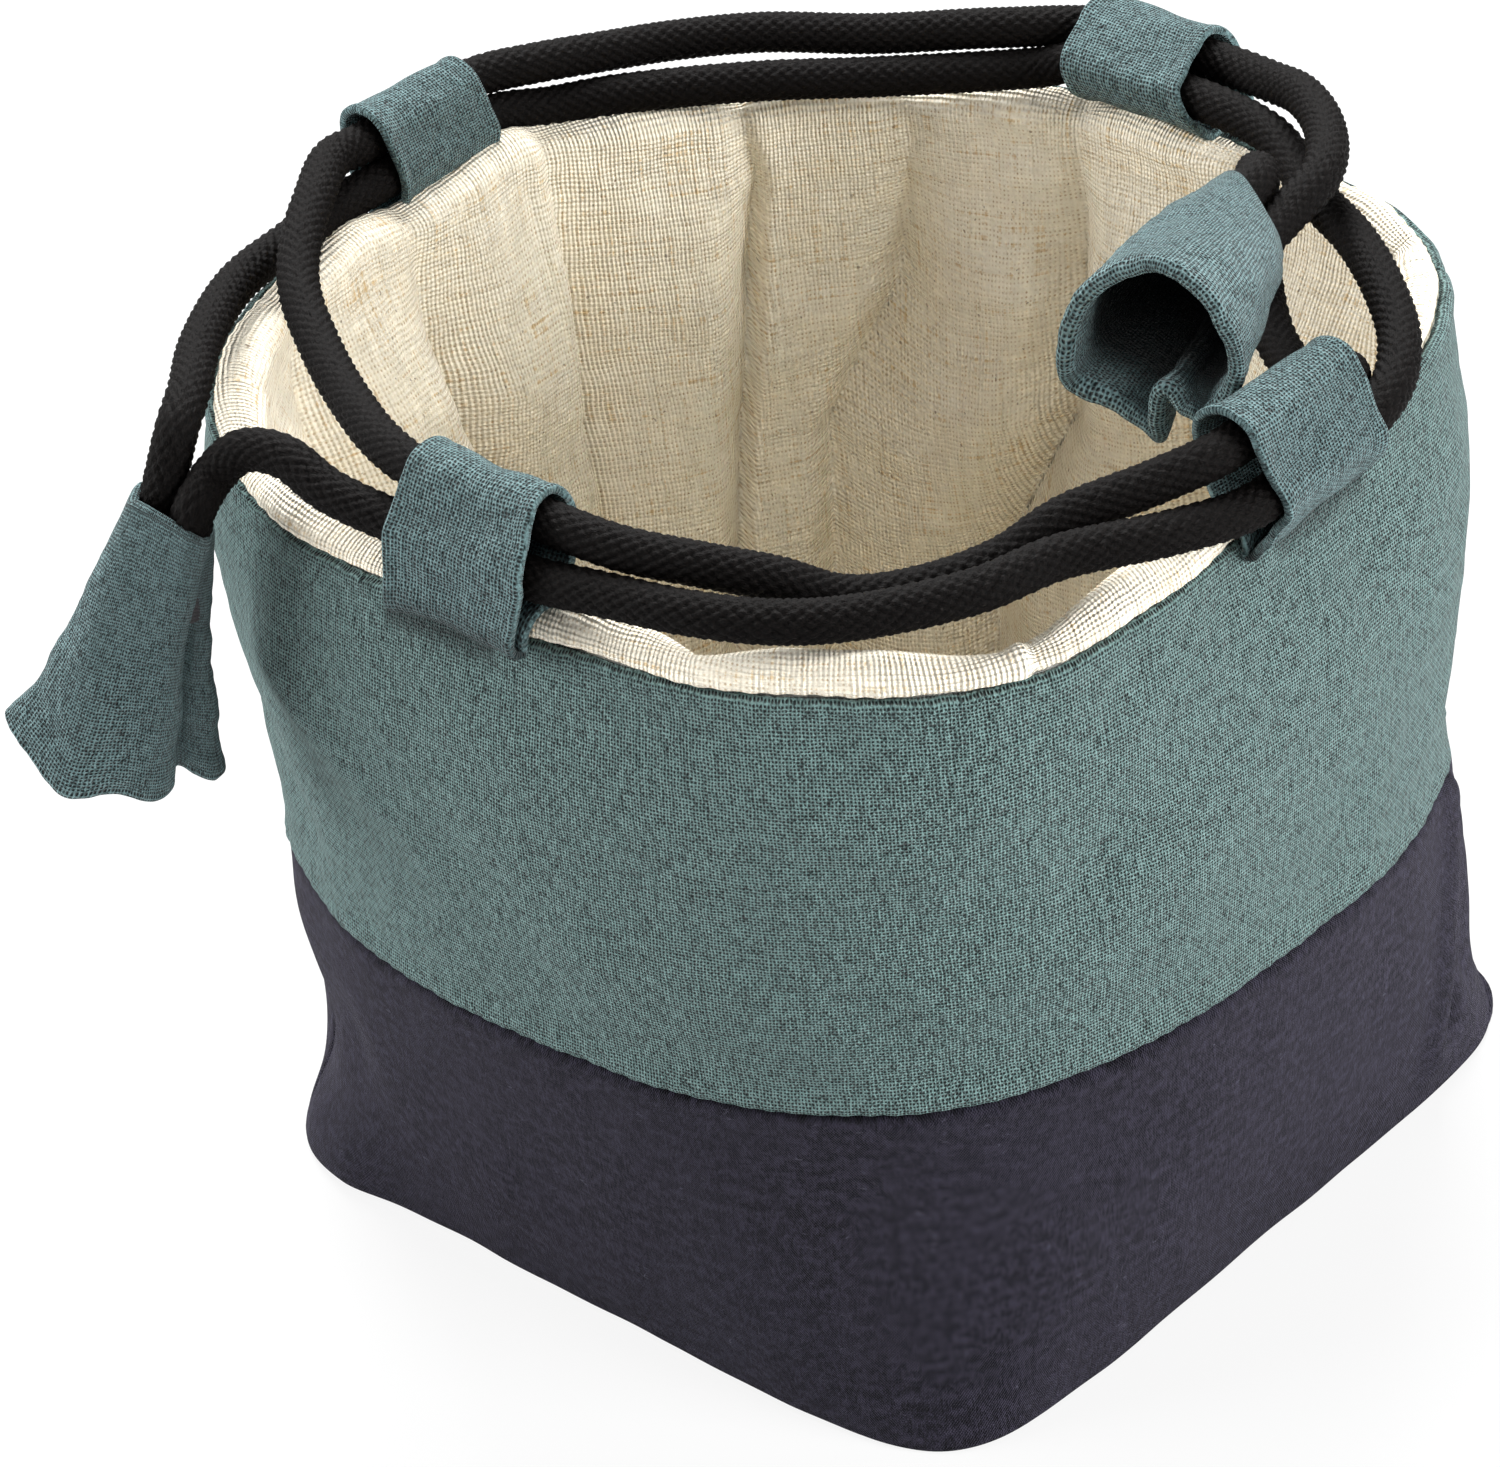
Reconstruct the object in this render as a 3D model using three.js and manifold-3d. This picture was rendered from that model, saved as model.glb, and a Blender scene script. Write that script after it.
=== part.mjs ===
// A drawstring storage bag. It is a padded, square-bottomed cloth bag that stands by itself: a
// two-coloured outer cloth, wadding, a lining that folds over the rim, four cloth loops on the
// rim seam, and two cords that run through all four loops and end in cloth bells.
// Millimetres, +Z up, the origin in the middle of the flat bottom, the walls along X and Y.
// The corner at +X -Y is called the front corner, and -X +Y the back corner.
import * as THREE from "three";
import { mergeVertices } from "three/addons/utils/BufferGeometryUtils.js";
import Module from "manifold-3d";

const wasm = await Module();
wasm.setup();

// Clearances
const clearance = 0.3; // between pieces that lie against each other
const cordClearance = 0.9; // between a cord and the cloth loop that it runs through

// Thickness of the layers of a wall, from outside to inside
const outerCloth = 1.2;
const wadding = 4;
const liningCloth = 1;

// Heights on the wall
const bulgeHeight = 6;
const waistHeight = 25;
const lowerBandHeight = 48; // the seam between the lower and the upper outer cloth
const shoulderHeight = 103;
const bodyHeight = 116; // the rim seam between the outer cloth and the lining

// Half the width across two walls, at each height
const footHalfWidth = 71;
const bulgeHalfWidth = 73.5;
const waistHalfWidth = 78;
const bandHalfWidth = 80;
const shoulderHalfWidth = 83;
const rimHalfWidth = 81;

// How far the rounded corners stop short of where the walls would meet, at each height
const footCornerCut = 8.9;
const bulgeCornerCut = 14.4;
const waistCornerCut = 22.8;
const bandCornerCut = 27.1;
const shoulderCornerCut = 26.4;
const rimCornerCut = 25;

// How far the section's centre has sagged towards the back corner, at each height. The foot
// lies the other way, so the numbers there are negative.
const footLean = -3.5;
const bulgeLean = -2;
const waistLean = 3;
const bandLean = 6;
const shoulderLean = 8;
const rimLean = 8.5;

// Cords
const cordDiameter = 6;
const cordSides = 8;
const cordStep = 14; // one ring of the cord's solid to the next

// The lining's gathers, which hang from the rim and fade out at the floor
const gatherDepth = 10; // how far a gather's crown stands in from the plain wall
const gatherFall = 32; // below the rim, where a gather has its whole depth
const gatherRise = 8; // above the floor, where it has its whole depth too

// Loops
const loopWidth = 21; // along the rim
const loopCloth = 1.2;

// Cord ends: a cloth bell round each pair of ends, and a thread binding that keeps it there
const coverLength = 42;
const coverCloth = 1;
const coverRings = 6;
const coverSides = 16;
const cordInCover = 8; // how far the cord's ends reach in
const bindingLength = 7;
const bindingWall = 0.5;

// Facets round one half of the bag, and over the rim
const panelSteps = 32;
const cornerCrowding = 0.55; // 0 spaces the facets evenly, near 1 gathers them at the corners
const rimArcSteps = 6;

// The wall as a whole
const wall = outerCloth + clearance + wadding + clearance + liningCloth;
const waddingInset = outerCloth + clearance;
const rimCentreHeight = bodyHeight + 0.5; // the rim is a half circle round this height
const quarterTurn = Math.PI / 2;
const leftCorner = -1.5 * quarterTurn; // the side seams' bearings, at two opposite corners
const rightCorner = 0.5 * quarterTurn;
const backCornerDirection = new THREE.Vector2(-1, 1).normalize();

// The layers of the bottom, from the outside to the inside
const bottomWaddingHeight = outerCloth + clearance;
const bottomLiningHeight = bottomWaddingHeight + wadding + clearance;
const liningWallHeight = bottomLiningHeight + liningCloth + clearance;

const materials = {
  upperCloth: new THREE.MeshStandardMaterial({ color: 0x5f8a85, roughness: 0.92, metalness: 0 }),
  lowerCloth: new THREE.MeshStandardMaterial({ color: 0x34344a, roughness: 0.9, metalness: 0 }),
  lining: new THREE.MeshStandardMaterial({ color: 0xdccfb2, roughness: 0.95, metalness: 0 }),
  wadding: new THREE.MeshStandardMaterial({ color: 0xf0eee8, roughness: 1, metalness: 0 }),
  cord: new THREE.MeshStandardMaterial({ color: 0x1c1a1a, roughness: 0.8, metalness: 0 }),
  thread: new THREE.MeshStandardMaterial({ color: 0x2c2a2c, roughness: 0.7, metalness: 0 }),
};

// Numbers from first to last in equal steps, both ends included
function spread(first, last, steps) {
  return Array.from({ length: steps + 1 }, (_, i) => first + ((last - first) * i) / steps);
}

// Bearings round the wall, closer together at the four corners than along the walls
function wallBearings(first, last, steps) {
  return spread(first, last, steps).map((turn) => turn + (cornerCrowding / 4) * Math.sin(4 * turn));
}

// Sections of the wall, each with its height, half width, corner cut and lean
const sections = [
  [0, footHalfWidth, footCornerCut, footLean],
  [bulgeHeight, bulgeHalfWidth, bulgeCornerCut, bulgeLean],
  [waistHeight, waistHalfWidth, waistCornerCut, waistLean],
  [lowerBandHeight, bandHalfWidth, bandCornerCut, bandLean],
  [shoulderHeight, shoulderHalfWidth, shoulderCornerCut, shoulderLean],
  [bodyHeight, rimHalfWidth, rimCornerCut, rimLean],
];
const sectionHeights = sections.map((section) => section[0]);
const sectionValues = sections.flatMap((section) => section.slice(1));
const sectionCurve = new THREE.CubicInterpolant(sectionHeights, sectionValues, 3);

// All layers bend at the same heights, so that they stay parallel
const rowHeights = [
  0,
  bulgeHeight / 2,
  bulgeHeight,
  (bulgeHeight + waistHeight) / 2,
  waistHeight,
  lowerBandHeight,
  ...spread(lowerBandHeight, shoulderHeight, 3).slice(1),
  bodyHeight,
];

// From the section's centre out to its rounded corners
function cornerReach(halfWidth, cornerCut) {
  return halfWidth * Math.SQRT2 - cornerCut;
}

// A point of a row at a bearing, `inset` inwards from the wall's outer face. The section is a
// superellipse, which meets the given half width and corner.
function rowPoint(bearing, height, inset) {
  const [halfWidth, cornerCut, lean] = sectionCurve.evaluate(height);
  const power = 1 / (0.5 - Math.log2(cornerReach(halfWidth, cornerCut) / halfWidth));
  const across = Math.abs(Math.cos(bearing)) ** power + Math.abs(Math.sin(bearing)) ** power;
  const reach = halfWidth / across ** (1 / power) - inset;
  return new THREE.Vector3(
    backCornerDirection.x * lean + Math.cos(bearing) * reach,
    backCornerDirection.y * lean + Math.sin(bearing) * reach,
    height,
  );
}

// A point of the wall at any height, on the straight line between two rows
function wallPoint(bearing, height, inset) {
  const above = rowHeights.findIndex((row) => row >= height);
  if (above < 1) {
    const end = above === 0 ? 0 : bodyHeight;
    return rowPoint(bearing, end, inset).setZ(height);
  }
  const [low, high] = [rowHeights[above - 1], rowHeights[above]];
  const point = rowPoint(bearing, low, inset);
  return point.lerp(rowPoint(bearing, high, inset), (height - low) / (high - low));
}

// The valleys between the lining's gathers: their bearings in degrees, anticlockwise, at the
// floor, at half height and at the rim
const gatherValleys = [
  [24, 20, 22],
  [50, 48, 52],
  [92, 82, 78],
  [118, 104, 101],
  [137, 132, 122],
  [150, 145, 142],
  [160, 166, 167],
  [182, 181, 188],
  [210, 214, 210],
  [236, 232, 238],
  [266, 272, 268],
  [300, 294, 298],
  [316, 320, 326],
  [352, 356, 354],
];

// How far a gather stands in from the plain wall at a bearing and height
function gatherAt(bearing, height) {
  const share = (2 * (height - liningWallHeight)) / (rimCentreHeight - liningWallHeight);
  const valleys = gatherValleys.map(([low, middle, high]) =>
    share < 1
      ? THREE.MathUtils.lerp(low, middle, share)
      : THREE.MathUtils.lerp(middle, high, share - 1),
  );
  const turn = THREE.MathUtils.radToDeg(bearing) - valleys[0];
  const here = THREE.MathUtils.euclideanModulo(turn, 360) + valleys[0];
  const ring = [...valleys, valleys[0] + 360];
  const after = Math.max(1, ring.findIndex((valley) => valley > here));
  const width = ring[after] - ring[after - 1];
  const crown = Math.sin((Math.PI * (here - ring[after - 1])) / width) ** 0.7;
  const fall = THREE.MathUtils.smoothstep(rimCentreHeight - height, 0, gatherFall);
  const rise = THREE.MathUtils.clamp((height - liningWallHeight) / gatherRise, 0, 1);
  return gatherDepth * crown * fall * rise;
}

// The heights between two ends at which the wall bends, with both ends
function rowsBetween(bottom, top) {
  return [bottom, ...rowHeights.filter((row) => row > bottom && row < top), top];
}

// One closed solid through a row of rings with equal numbers of points. Each ring runs
// anticlockwise seen from the ring after it. The end rings are closed by the given cap
// triangles, or, without any, the last ring joins the first, which makes a hollow band. Each
// four-sided face is split along its shorter diagonal, so that parallel layers split alike.
function loft(rings, caps) {
  const count = rings[0].length;
  const points = rings.flat();
  const indices = [];
  const spans = caps ? rings.length - 1 : rings.length;
  for (let ring = 0; ring < spans; ring++) {
    const here = ring * count;
    const next = ((ring + 1) % rings.length) * count;
    for (let i = 0; i < count; i++) {
      const j = (i + 1) % count;
      const [a, b, c, d] = [here + i, here + j, next + j, next + i];
      if (points[a].distanceTo(points[c]) < points[b].distanceTo(points[d])) {
        indices.push(a, b, c, a, c, d);
      } else {
        indices.push(a, b, d, b, c, d);
      }
    }
  }
  if (caps) {
    const last = (rings.length - 1) * count;
    for (const [a, b, c] of caps) {
      indices.push(c, b, a, last + a, last + b, last + c);
    }
  }
  const geometry = new THREE.BufferGeometry().setFromPoints(points);
  geometry.setIndex(indices);
  geometry.computeVertexNormals();
  return geometry;
}

// Triangles that close a narrow outline, whose points face each other in pairs: the first and
// the last, the second and the last but one, and so on
function pairedCap(count) {
  const triangles = [];
  for (let near = 0; near + 1 < count / 2; near++) {
    const far = count - 1 - near;
    triangles.push([near, near + 1, far]);
    if (far - 1 > near + 1) triangles.push([near + 1, far - 1, far]);
  }
  return triangles;
}

// A sheet of cloth that follows the wall between two bearings. Its outline is a list of
// [inset, height] points, anticlockwise with the outside of the bag on the right. A third value
// of 1 marks the points that the lining's gathers push inwards.
function wallSheet(outline, firstBearing, lastBearing, steps) {
  const bearings = wallBearings(lastBearing, firstBearing, steps);
  const rings = bearings.map((bearing) =>
    outline.map(([inset, height, gathered = 0]) =>
      wallPoint(bearing, height, inset + gathered * gatherAt(bearing, height)),
    ),
  );
  return loft(rings, pairedCap(outline.length));
}

// A flat layer of the bottom between two heights
function bottomLayer(bottom, top, inset) {
  const bearings = wallBearings(0, 2 * Math.PI, 2 * panelSteps).slice(0, -1);
  const rings = [bottom, top].map((height) =>
    bearings.map((bearing) => wallPoint(bearing, height, inset)),
  );
  const caps = THREE.ShapeUtils.triangulateShape(rings[0], []);
  return loft(rings, caps);
}

// The outline of the outer cloth: up its outer face and down its inner face
function outerOutline(heights) {
  const outside = heights.map((height) => [0, height]);
  const inside = heights.map((height) => [outerCloth, height]);
  return [...outside, ...inside.reverse()];
}

// The half circle over the rim, from the outside to the inside
function rimArc(radius) {
  return spread(0, Math.PI, rimArcSteps).map((turn) => [
    wall / 2 - radius * Math.cos(turn),
    rimCentreHeight + radius * Math.sin(turn),
  ]);
}

// The wadding's outline: up its plain outer face and down its inner face, which fills the
// lining's gathers
function waddingOutline() {
  const outside = rowsBetween(bottomLiningHeight, rimCentreHeight);
  const inside = [bottomLiningHeight, ...rowsBetween(liningWallHeight, rimCentreHeight)];
  return [
    ...outside.map((height) => [waddingInset, height]),
    ...inside.map((height) => [waddingInset + wadding, height, 1]).reverse(),
  ];
}

// The lining's outline: from the rim seam over the rim and down the inside of the wall, then
// back along its hidden face
function liningOutline() {
  const heights = rowsBetween(liningWallHeight, rimCentreHeight).slice(0, -1);
  const inner = heights.map((height) => [wall, height, 1]).reverse();
  const hidden = heights.map((height) => [wall - liningCloth, height, 1]);
  return [
    [0, bodyHeight + clearance],
    ...rimArc(wall / 2),
    ...inner,
    ...hidden,
    ...rimArc(wall / 2 - liningCloth).reverse(),
    [liningCloth, bodyHeight + clearance],
  ];
}

const bag = new THREE.Group();
bag.name = "drawstring_bag";

function addPiece(name, geometry, material) {
  const mesh = new THREE.Mesh(geometry, material);
  mesh.name = name;
  bag.add(mesh);
}

// The bottom
addPiece("outer_base", bottomLayer(0, outerCloth, waddingInset), materials.lowerCloth);
addPiece(
  "base_wadding",
  bottomLayer(bottomWaddingHeight, bottomWaddingHeight + wadding, waddingInset),
  materials.wadding,
);
addPiece(
  "lining_base",
  bottomLayer(bottomLiningHeight, bottomLiningHeight + liningCloth, wall),
  materials.lining,
);

// The wall's layers come in a front and a back panel, which meet at the two side seams
const lowerHeights = rowsBetween(0, lowerBandHeight);
const upperHeights = rowsBetween(lowerBandHeight + clearance, bodyHeight);
const panels = [
  ["front", leftCorner, rightCorner],
  ["back", rightCorner, leftCorner + 2 * Math.PI],
];
for (const [side, start, end] of panels) {
  const seamGap = clearance / 2 / cornerReach(rimHalfWidth, rimCornerCut);
  const addPanel = (name, outline, material) => {
    const sheet = wallSheet(outline, start + seamGap, end - seamGap, panelSteps);
    addPiece(`${name}_${side}`, sheet, material);
  };
  addPanel("lower_outer", outerOutline(lowerHeights), materials.lowerCloth);
  addPanel("upper_outer", outerOutline(upperHeights), materials.upperCloth);
  addPanel("wall_wadding", waddingOutline(), materials.wadding);
  addPanel("lining", liningOutline(), materials.lining);
}

// Each loop is on one wall, with its place along the wall and the places of the lower and the
// upper cord in it: how far out from the wall's outer face, and how high above the rim seam.
const loops = {
  cord_loop_front_left: { bearing: -quarterTurn, along: -4, lower: [-3.5, 10], upper: [-8, 16.5] },
  cord_loop_front_right: { bearing: 0, along: 7, lower: [2.5, 10.2], upper: [-2, 17.3] },
  cord_loop_back_right: { bearing: quarterTurn, along: -8.5, lower: [-6.2, 10.3], upper: [0.6, 13] },
  cord_loop_back_left: { bearing: 2 * quarterTurn, along: 9, lower: [0, 9.4], upper: [2.6, 15.1] },
};

// A loop's own directions: out from its wall, and along the rim towards +X or +Y
function loopAxes({ bearing }) {
  const out = new THREE.Vector3(Math.round(Math.cos(bearing)), Math.round(Math.sin(bearing)), 0);
  const along = new THREE.Vector3(Math.abs(out.y), Math.abs(out.x), 0);
  return { out, along };
}

// Where a loop holds the lower or the upper cord: how far out from the bag's middle, and how high
function cordPlace(loop, level) {
  const { out } = loopAxes(loop);
  const [outward, upward] = loop[level];
  return [wallPoint(loop.bearing, bodyHeight, 0).dot(out) + outward, bodyHeight + upward];
}

// The smallest outline round a set of circles [x, y, radius], anticlockwise
function beltRound(circles) {
  const points = circles.flatMap(([x, y, radius]) =>
    spread(0, 2 * Math.PI, 16)
      .slice(1)
      .map((turn) => new THREE.Vector2(x + radius * Math.cos(turn), y + radius * Math.sin(turn))),
  );
  points.sort((a, b) => a.x - b.x || a.y - b.y);
  const turnsLeft = (a, b, c) => (b.x - a.x) * (c.y - a.y) - (b.y - a.y) * (c.x - a.x) > 1e-6;
  const chain = (list) => {
    const kept = [];
    for (const point of list) {
      while (kept.length > 1 && !turnsLeft(kept.at(-2), kept.at(-1), point)) kept.pop();
      kept.push(point);
    }
    return kept.slice(0, -1);
  };
  return [...chain(points), ...chain([...points].reverse())];
}

// A geometry as a solid for cutting, and back
function toSolid(geometry) {
  const bare = geometry.index ? geometry.toNonIndexed() : geometry.clone();
  bare.deleteAttribute("normal");
  bare.deleteAttribute("uv");
  const merged = mergeVertices(bare, 1e-4);
  const vertProperties = merged.attributes.position.array;
  const triVerts = new Uint32Array(merged.index.array);
  return new wasm.Manifold(new wasm.Mesh({ numProp: 3, vertProperties, triVerts }));
}

function toGeometry(solid) {
  const { vertProperties, triVerts } = solid.getMesh();
  const geometry = new THREE.BufferGeometry();
  geometry.setAttribute("position", new THREE.BufferAttribute(vertProperties, 3));
  geometry.setIndex(new THREE.BufferAttribute(triVerts, 1));
  geometry.computeVertexNormals();
  return geometry;
}

// The space that the rim takes up near a loop, with the clearance round it
function rimEnvelope(bearing) {
  const reach = 0.3; // radians to each side
  const low = bodyHeight - 12;
  const outline = [[-clearance, low], ...rimArc(wall / 2 + clearance), [wall + clearance, low]];
  return wallSheet(outline, bearing - reach, bearing + reach, 8);
}

// A cloth loop: a strap round both cords, whose ends go down to the rim seam on the outside
function clothLoop(loop) {
  const { out, along } = loopAxes(loop);
  const slotRadius = cordDiameter / 2 + cordClearance;
  const ringRadius = slotRadius + loopCloth;
  const lower = cordPlace(loop, "lower");
  const upper = cordPlace(loop, "upper");
  const seamOut = wallPoint(loop.bearing, bodyHeight, 0).dot(out);
  const foot = [seamOut + clearance + loopCloth, bodyHeight, loopCloth];
  const shape = new THREE.Shape(beltRound([[...lower, ringRadius], [...upper, ringRadius], foot]));
  shape.holes.push(new THREE.Path(beltRound([[...lower, slotRadius], [...upper, slotRadius]])));
  const strap = new THREE.ExtrudeGeometry(shape, { depth: loopWidth, bevelEnabled: false });
  strap.translate(0, 0, -loopWidth / 2);
  const up = new THREE.Vector3(0, 0, 1);
  const basis = new THREE.Matrix4().makeBasis(out, up, out.clone().cross(up));
  basis.setPosition(along.clone().multiplyScalar(loop.along));
  strap.applyMatrix4(basis);
  return toGeometry(toSolid(strap).subtract(toSolid(rimEnvelope(loop.bearing))));
}

for (const [name, loop] of Object.entries(loops)) {
  addPiece(name, clothLoop(loop), materials.upperCloth);
}

// Cord ends: the neck's place, the way that the bell points, the way in which the two ends lie
// side by side, and the bell mouth's half widths that way and across it
const cordEnds = {
  left: {
    neck: new THREE.Vector3(-50.5, -81.6, 120.5),
    axis: new THREE.Vector3(-0.177, -0.313, -0.933).normalize(),
    side: new THREE.Vector3(0.723, 0.602, -0.339),
    mouth: [15, 9],
    dip: 3,
  },
  right: {
    neck: new THREE.Vector3(44.4, 41.5, 138),
    axis: new THREE.Vector3(0.235, -0.972, 0.026).normalize(),
    side: new THREE.Vector3(0.761, 0.167, -0.627),
    mouth: [9.5, 13.5],
    dip: 0,
  },
};

// The two ends of a cord lie side by side in the neck, this far from its axis
const endOffset = (cordDiameter + 2 * clearance) / 2;

// A point in a bell: so far along its axis from the neck, to the side, and across
function inEnd(end, along, side, across) {
  const sideways = end.side.clone().addScaledVector(end.axis, -end.side.dot(end.axis)).normalize();
  const crossways = end.axis.clone().cross(sideways);
  return end.neck
    .clone()
    .addScaledVector(end.axis, along)
    .addScaledVector(sideways, side)
    .addScaledVector(crossways, across);
}

// One ring of a bell or binding: a superellipse, squarer with a higher power
function endRing(end, along, sideHalf, acrossHalf, power, dip = 0) {
  return spread(0, 2 * Math.PI, coverSides)
    .slice(0, -1)
    .map((turn) => {
      const side = sideHalf * Math.sign(Math.cos(turn)) * Math.abs(Math.cos(turn)) ** (2 / power);
      const across = acrossHalf * Math.sign(Math.sin(turn)) * Math.abs(Math.sin(turn)) ** (2 / power);
      return inEnd(end, along - dip * Math.cos(2 * turn), side, across);
    });
}

// Half widths of the bore through a bell's neck
const neckSideHalf = endOffset + cordDiameter / 2 + 2 * clearance;
const neckAcrossHalf = cordDiameter / 2 + 2 * clearance;

// A bell: cloth gathered to the neck at one end and open at the other
function endCover(end) {
  const ringsAt = (fractions, cloth) =>
    fractions.map((fraction) => {
      const flare = fraction ** 1.1;
      const sideHalf = THREE.MathUtils.lerp(neckSideHalf, end.mouth[0] - coverCloth, flare) + cloth;
      const acrossHalf = THREE.MathUtils.lerp(neckAcrossHalf, end.mouth[1] - coverCloth, flare) + cloth;
      const power = THREE.MathUtils.lerp(4, 2.2, fraction);
      return endRing(end, coverLength * fraction, sideHalf, acrossHalf, power, end.dip * fraction ** 3);
    });
  const fractions = spread(0, 1, coverRings);
  const outside = ringsAt(fractions, coverCloth);
  const inside = ringsAt(fractions, 0);
  return loft([...outside, ...inside.reverse()], null);
}

// A binding: thread wound round the two cord ends, just past where they stop
function endBinding(end) {
  const start = cordInCover + clearance;
  const sideHalf = endOffset + cordDiameter / 2 + bindingWall;
  const acrossHalf = cordDiameter / 2 + bindingWall;
  const rings = spread(start, start + bindingLength, 1).map((along) =>
    endRing(end, along, sideHalf, acrossHalf, 3),
  );
  const flat = endRing(end, start, sideHalf, acrossHalf, 3).map((_, i) => {
    const turn = (2 * Math.PI * i) / coverSides;
    return new THREE.Vector2(Math.cos(turn), Math.sin(turn));
  });
  return loft(rings, THREE.ShapeUtils.triangulateShape(flat, []));
}

for (const [side, end] of Object.entries(cordEnds)) {
  addPiece(`${side}_end_cover`, endCover(end), materials.upperCloth);
  addPiece(`${side}_end_binding`, endBinding(end), materials.thread);
}

// The straight run of a cord through a loop, from the lower to the higher coordinate
function throughLoop(name, level) {
  const loop = loops[name];
  const { out, along } = loopAxes(loop);
  const [distance, height] = cordPlace(loop, level);
  const reach = loopWidth / 2 + 1.5;
  return [-reach, 0, reach].map((offset) => {
    const place = out.clone().multiplyScalar(distance);
    place.addScaledVector(along, loop.along + offset);
    place.z = height;
    return place;
  });
}

// The straight run of a cord out of a bell, from its end outwards
function outOfBell(side, sign, straight) {
  return [cordInCover, 0, -straight].map((along) => inEnd(cordEnds[side], along, sign * endOffset, 0));
}

const at = (x, y, z) => new THREE.Vector3(x, y, z);

// Both cords go once round the mouth through all four loops
const leftCordRoute = [
  ...outOfBell("left", -1, 5),
  at(-53.3, -76.8, 130.9),
  at(-57.6, -70, 132.4),
  at(-66.5, -59.4, 131.6),
  at(-78.6, -40.5, 128.9),
  at(-83.4, -25.7, 126.9),
  at(-86.2, -14.5, 125.9),
  ...throughLoop("cord_loop_back_left", "lower"),
  at(-83, 29.2, 124.2),
  at(-76.2, 36.9, 124.7),
  at(-59.8, 50.5, 125.5),
  at(-47.3, 61, 125),
  at(-35.5, 71.2, 124.6),
  at(-27, 78.4, 124.6),
  ...throughLoop("cord_loop_back_right", "lower"),
  at(18.1, 77.4, 126.5),
  at(32.6, 68.1, 125.6),
  at(47, 59, 127),
  at(60, 48.5, 128),
  at(70, 38.5, 128),
  at(76, 28.5, 127.5),
  ...throughLoop("cord_loop_front_right", "lower").reverse(),
  at(74, -17, 127.5),
  at(66, -30.5, 128),
  at(61.5, -42.5, 127.5),
  at(51.5, -56, 127),
  at(43.5, -62.5, 127),
  at(33, -67, 127),
  at(20, -69.5, 126.5),
  ...throughLoop("cord_loop_front_left", "lower").reverse(),
  at(-28, -72.8, 127.8),
  at(-36.5, -72.8, 130.4),
  at(-43, -74.3, 129.8),
  at(-46.4, -76.8, 126.4),
  ...outOfBell("left", 1, 3).reverse(),
];
const rightCordRoute = [
  ...outOfBell("right", 1, 6),
  at(41.6, 58.6, 136),
  at(32.9, 71, 134.8),
  at(21.8, 80.1, 133.1),
  at(12.3, 85, 130.4),
  ...throughLoop("cord_loop_back_right", "upper").reverse(),
  at(-33.8, 77.3, 129.9),
  at(-49.4, 66.4, 129.4),
  at(-63.5, 57, 129.9),
  at(-73.4, 48.3, 129.7),
  at(-80.3, 39.1, 129.9),
  at(-85.5, 29.7, 130.7),
  ...throughLoop("cord_loop_back_left", "upper").reverse(),
  at(-88, -11, 132.6),
  at(-81, -21.5, 133.5),
  at(-73.4, -32.1, 133),
  at(-65.5, -40.5, 132),
  at(-51.5, -50, 131),
  at(-38, -58, 131.5),
  at(-25, -64.5, 132.3),
  ...throughLoop("cord_loop_front_left", "upper"),
  at(19.5, -65.1, 131.3),
  at(30.6, -61, 130.4),
  at(39.2, -56.2, 128.7),
  at(45.7, -51.1, 125.5),
  at(51.3, -43.5, 124.5),
  at(57.8, -33.3, 126),
  at(62, -24.6, 129.5),
  at(69, -14, 132),
  ...throughLoop("cord_loop_front_right", "upper"),
  at(71, 25.2, 129.9),
  at(67.1, 30.1, 124.7),
  at(61.5, 33.6, 120.6),
  at(55.5, 36.8, 117.5),
  at(49, 41, 115.8),
  at(41, 46.8, 116.2),
  at(34.4, 53, 119.6),
  at(31.8, 56.2, 127.6),
  at(34, 53.8, 136),
  ...outOfBell("right", -1, 6).reverse(),
];

function cordTube(route) {
  const path = new THREE.CatmullRomCurve3(route, false, "centripetal");
  const turns = spread(0, 2 * Math.PI, cordSides).slice(1);
  const radius = cordDiameter / 2;
  const section = turns.map((turn) => new THREE.Vector2(radius * Math.cos(turn), radius * Math.sin(turn)));
  return new THREE.ExtrudeGeometry(new THREE.Shape(section), {
    steps: Math.round(path.getLength() / cordStep),
    extrudePath: path,
    bevelEnabled: false,
  });
}

addPiece("left_drawstring", cordTube(leftCordRoute), materials.cord);
addPiece("right_drawstring", cordTube(rightCordRoute), materials.cord);

export default bag;
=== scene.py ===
# A drawstring storage bag: a padded, square-bottomed cloth bag that stands by itself, with a
# two-coloured outer cloth, a slubbed linen lining, four cloth loops on the rim and two braided
# cords that end in cloth bells. Metres, +Z up, the origin in the middle of the bottom. Bearings
# run round the bag in degrees: 0 is the wall at +X, -45 the front corner.
import math

import bmesh
import bpy
import numpy as np
from mathutils import Matrix, Vector, noise


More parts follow.
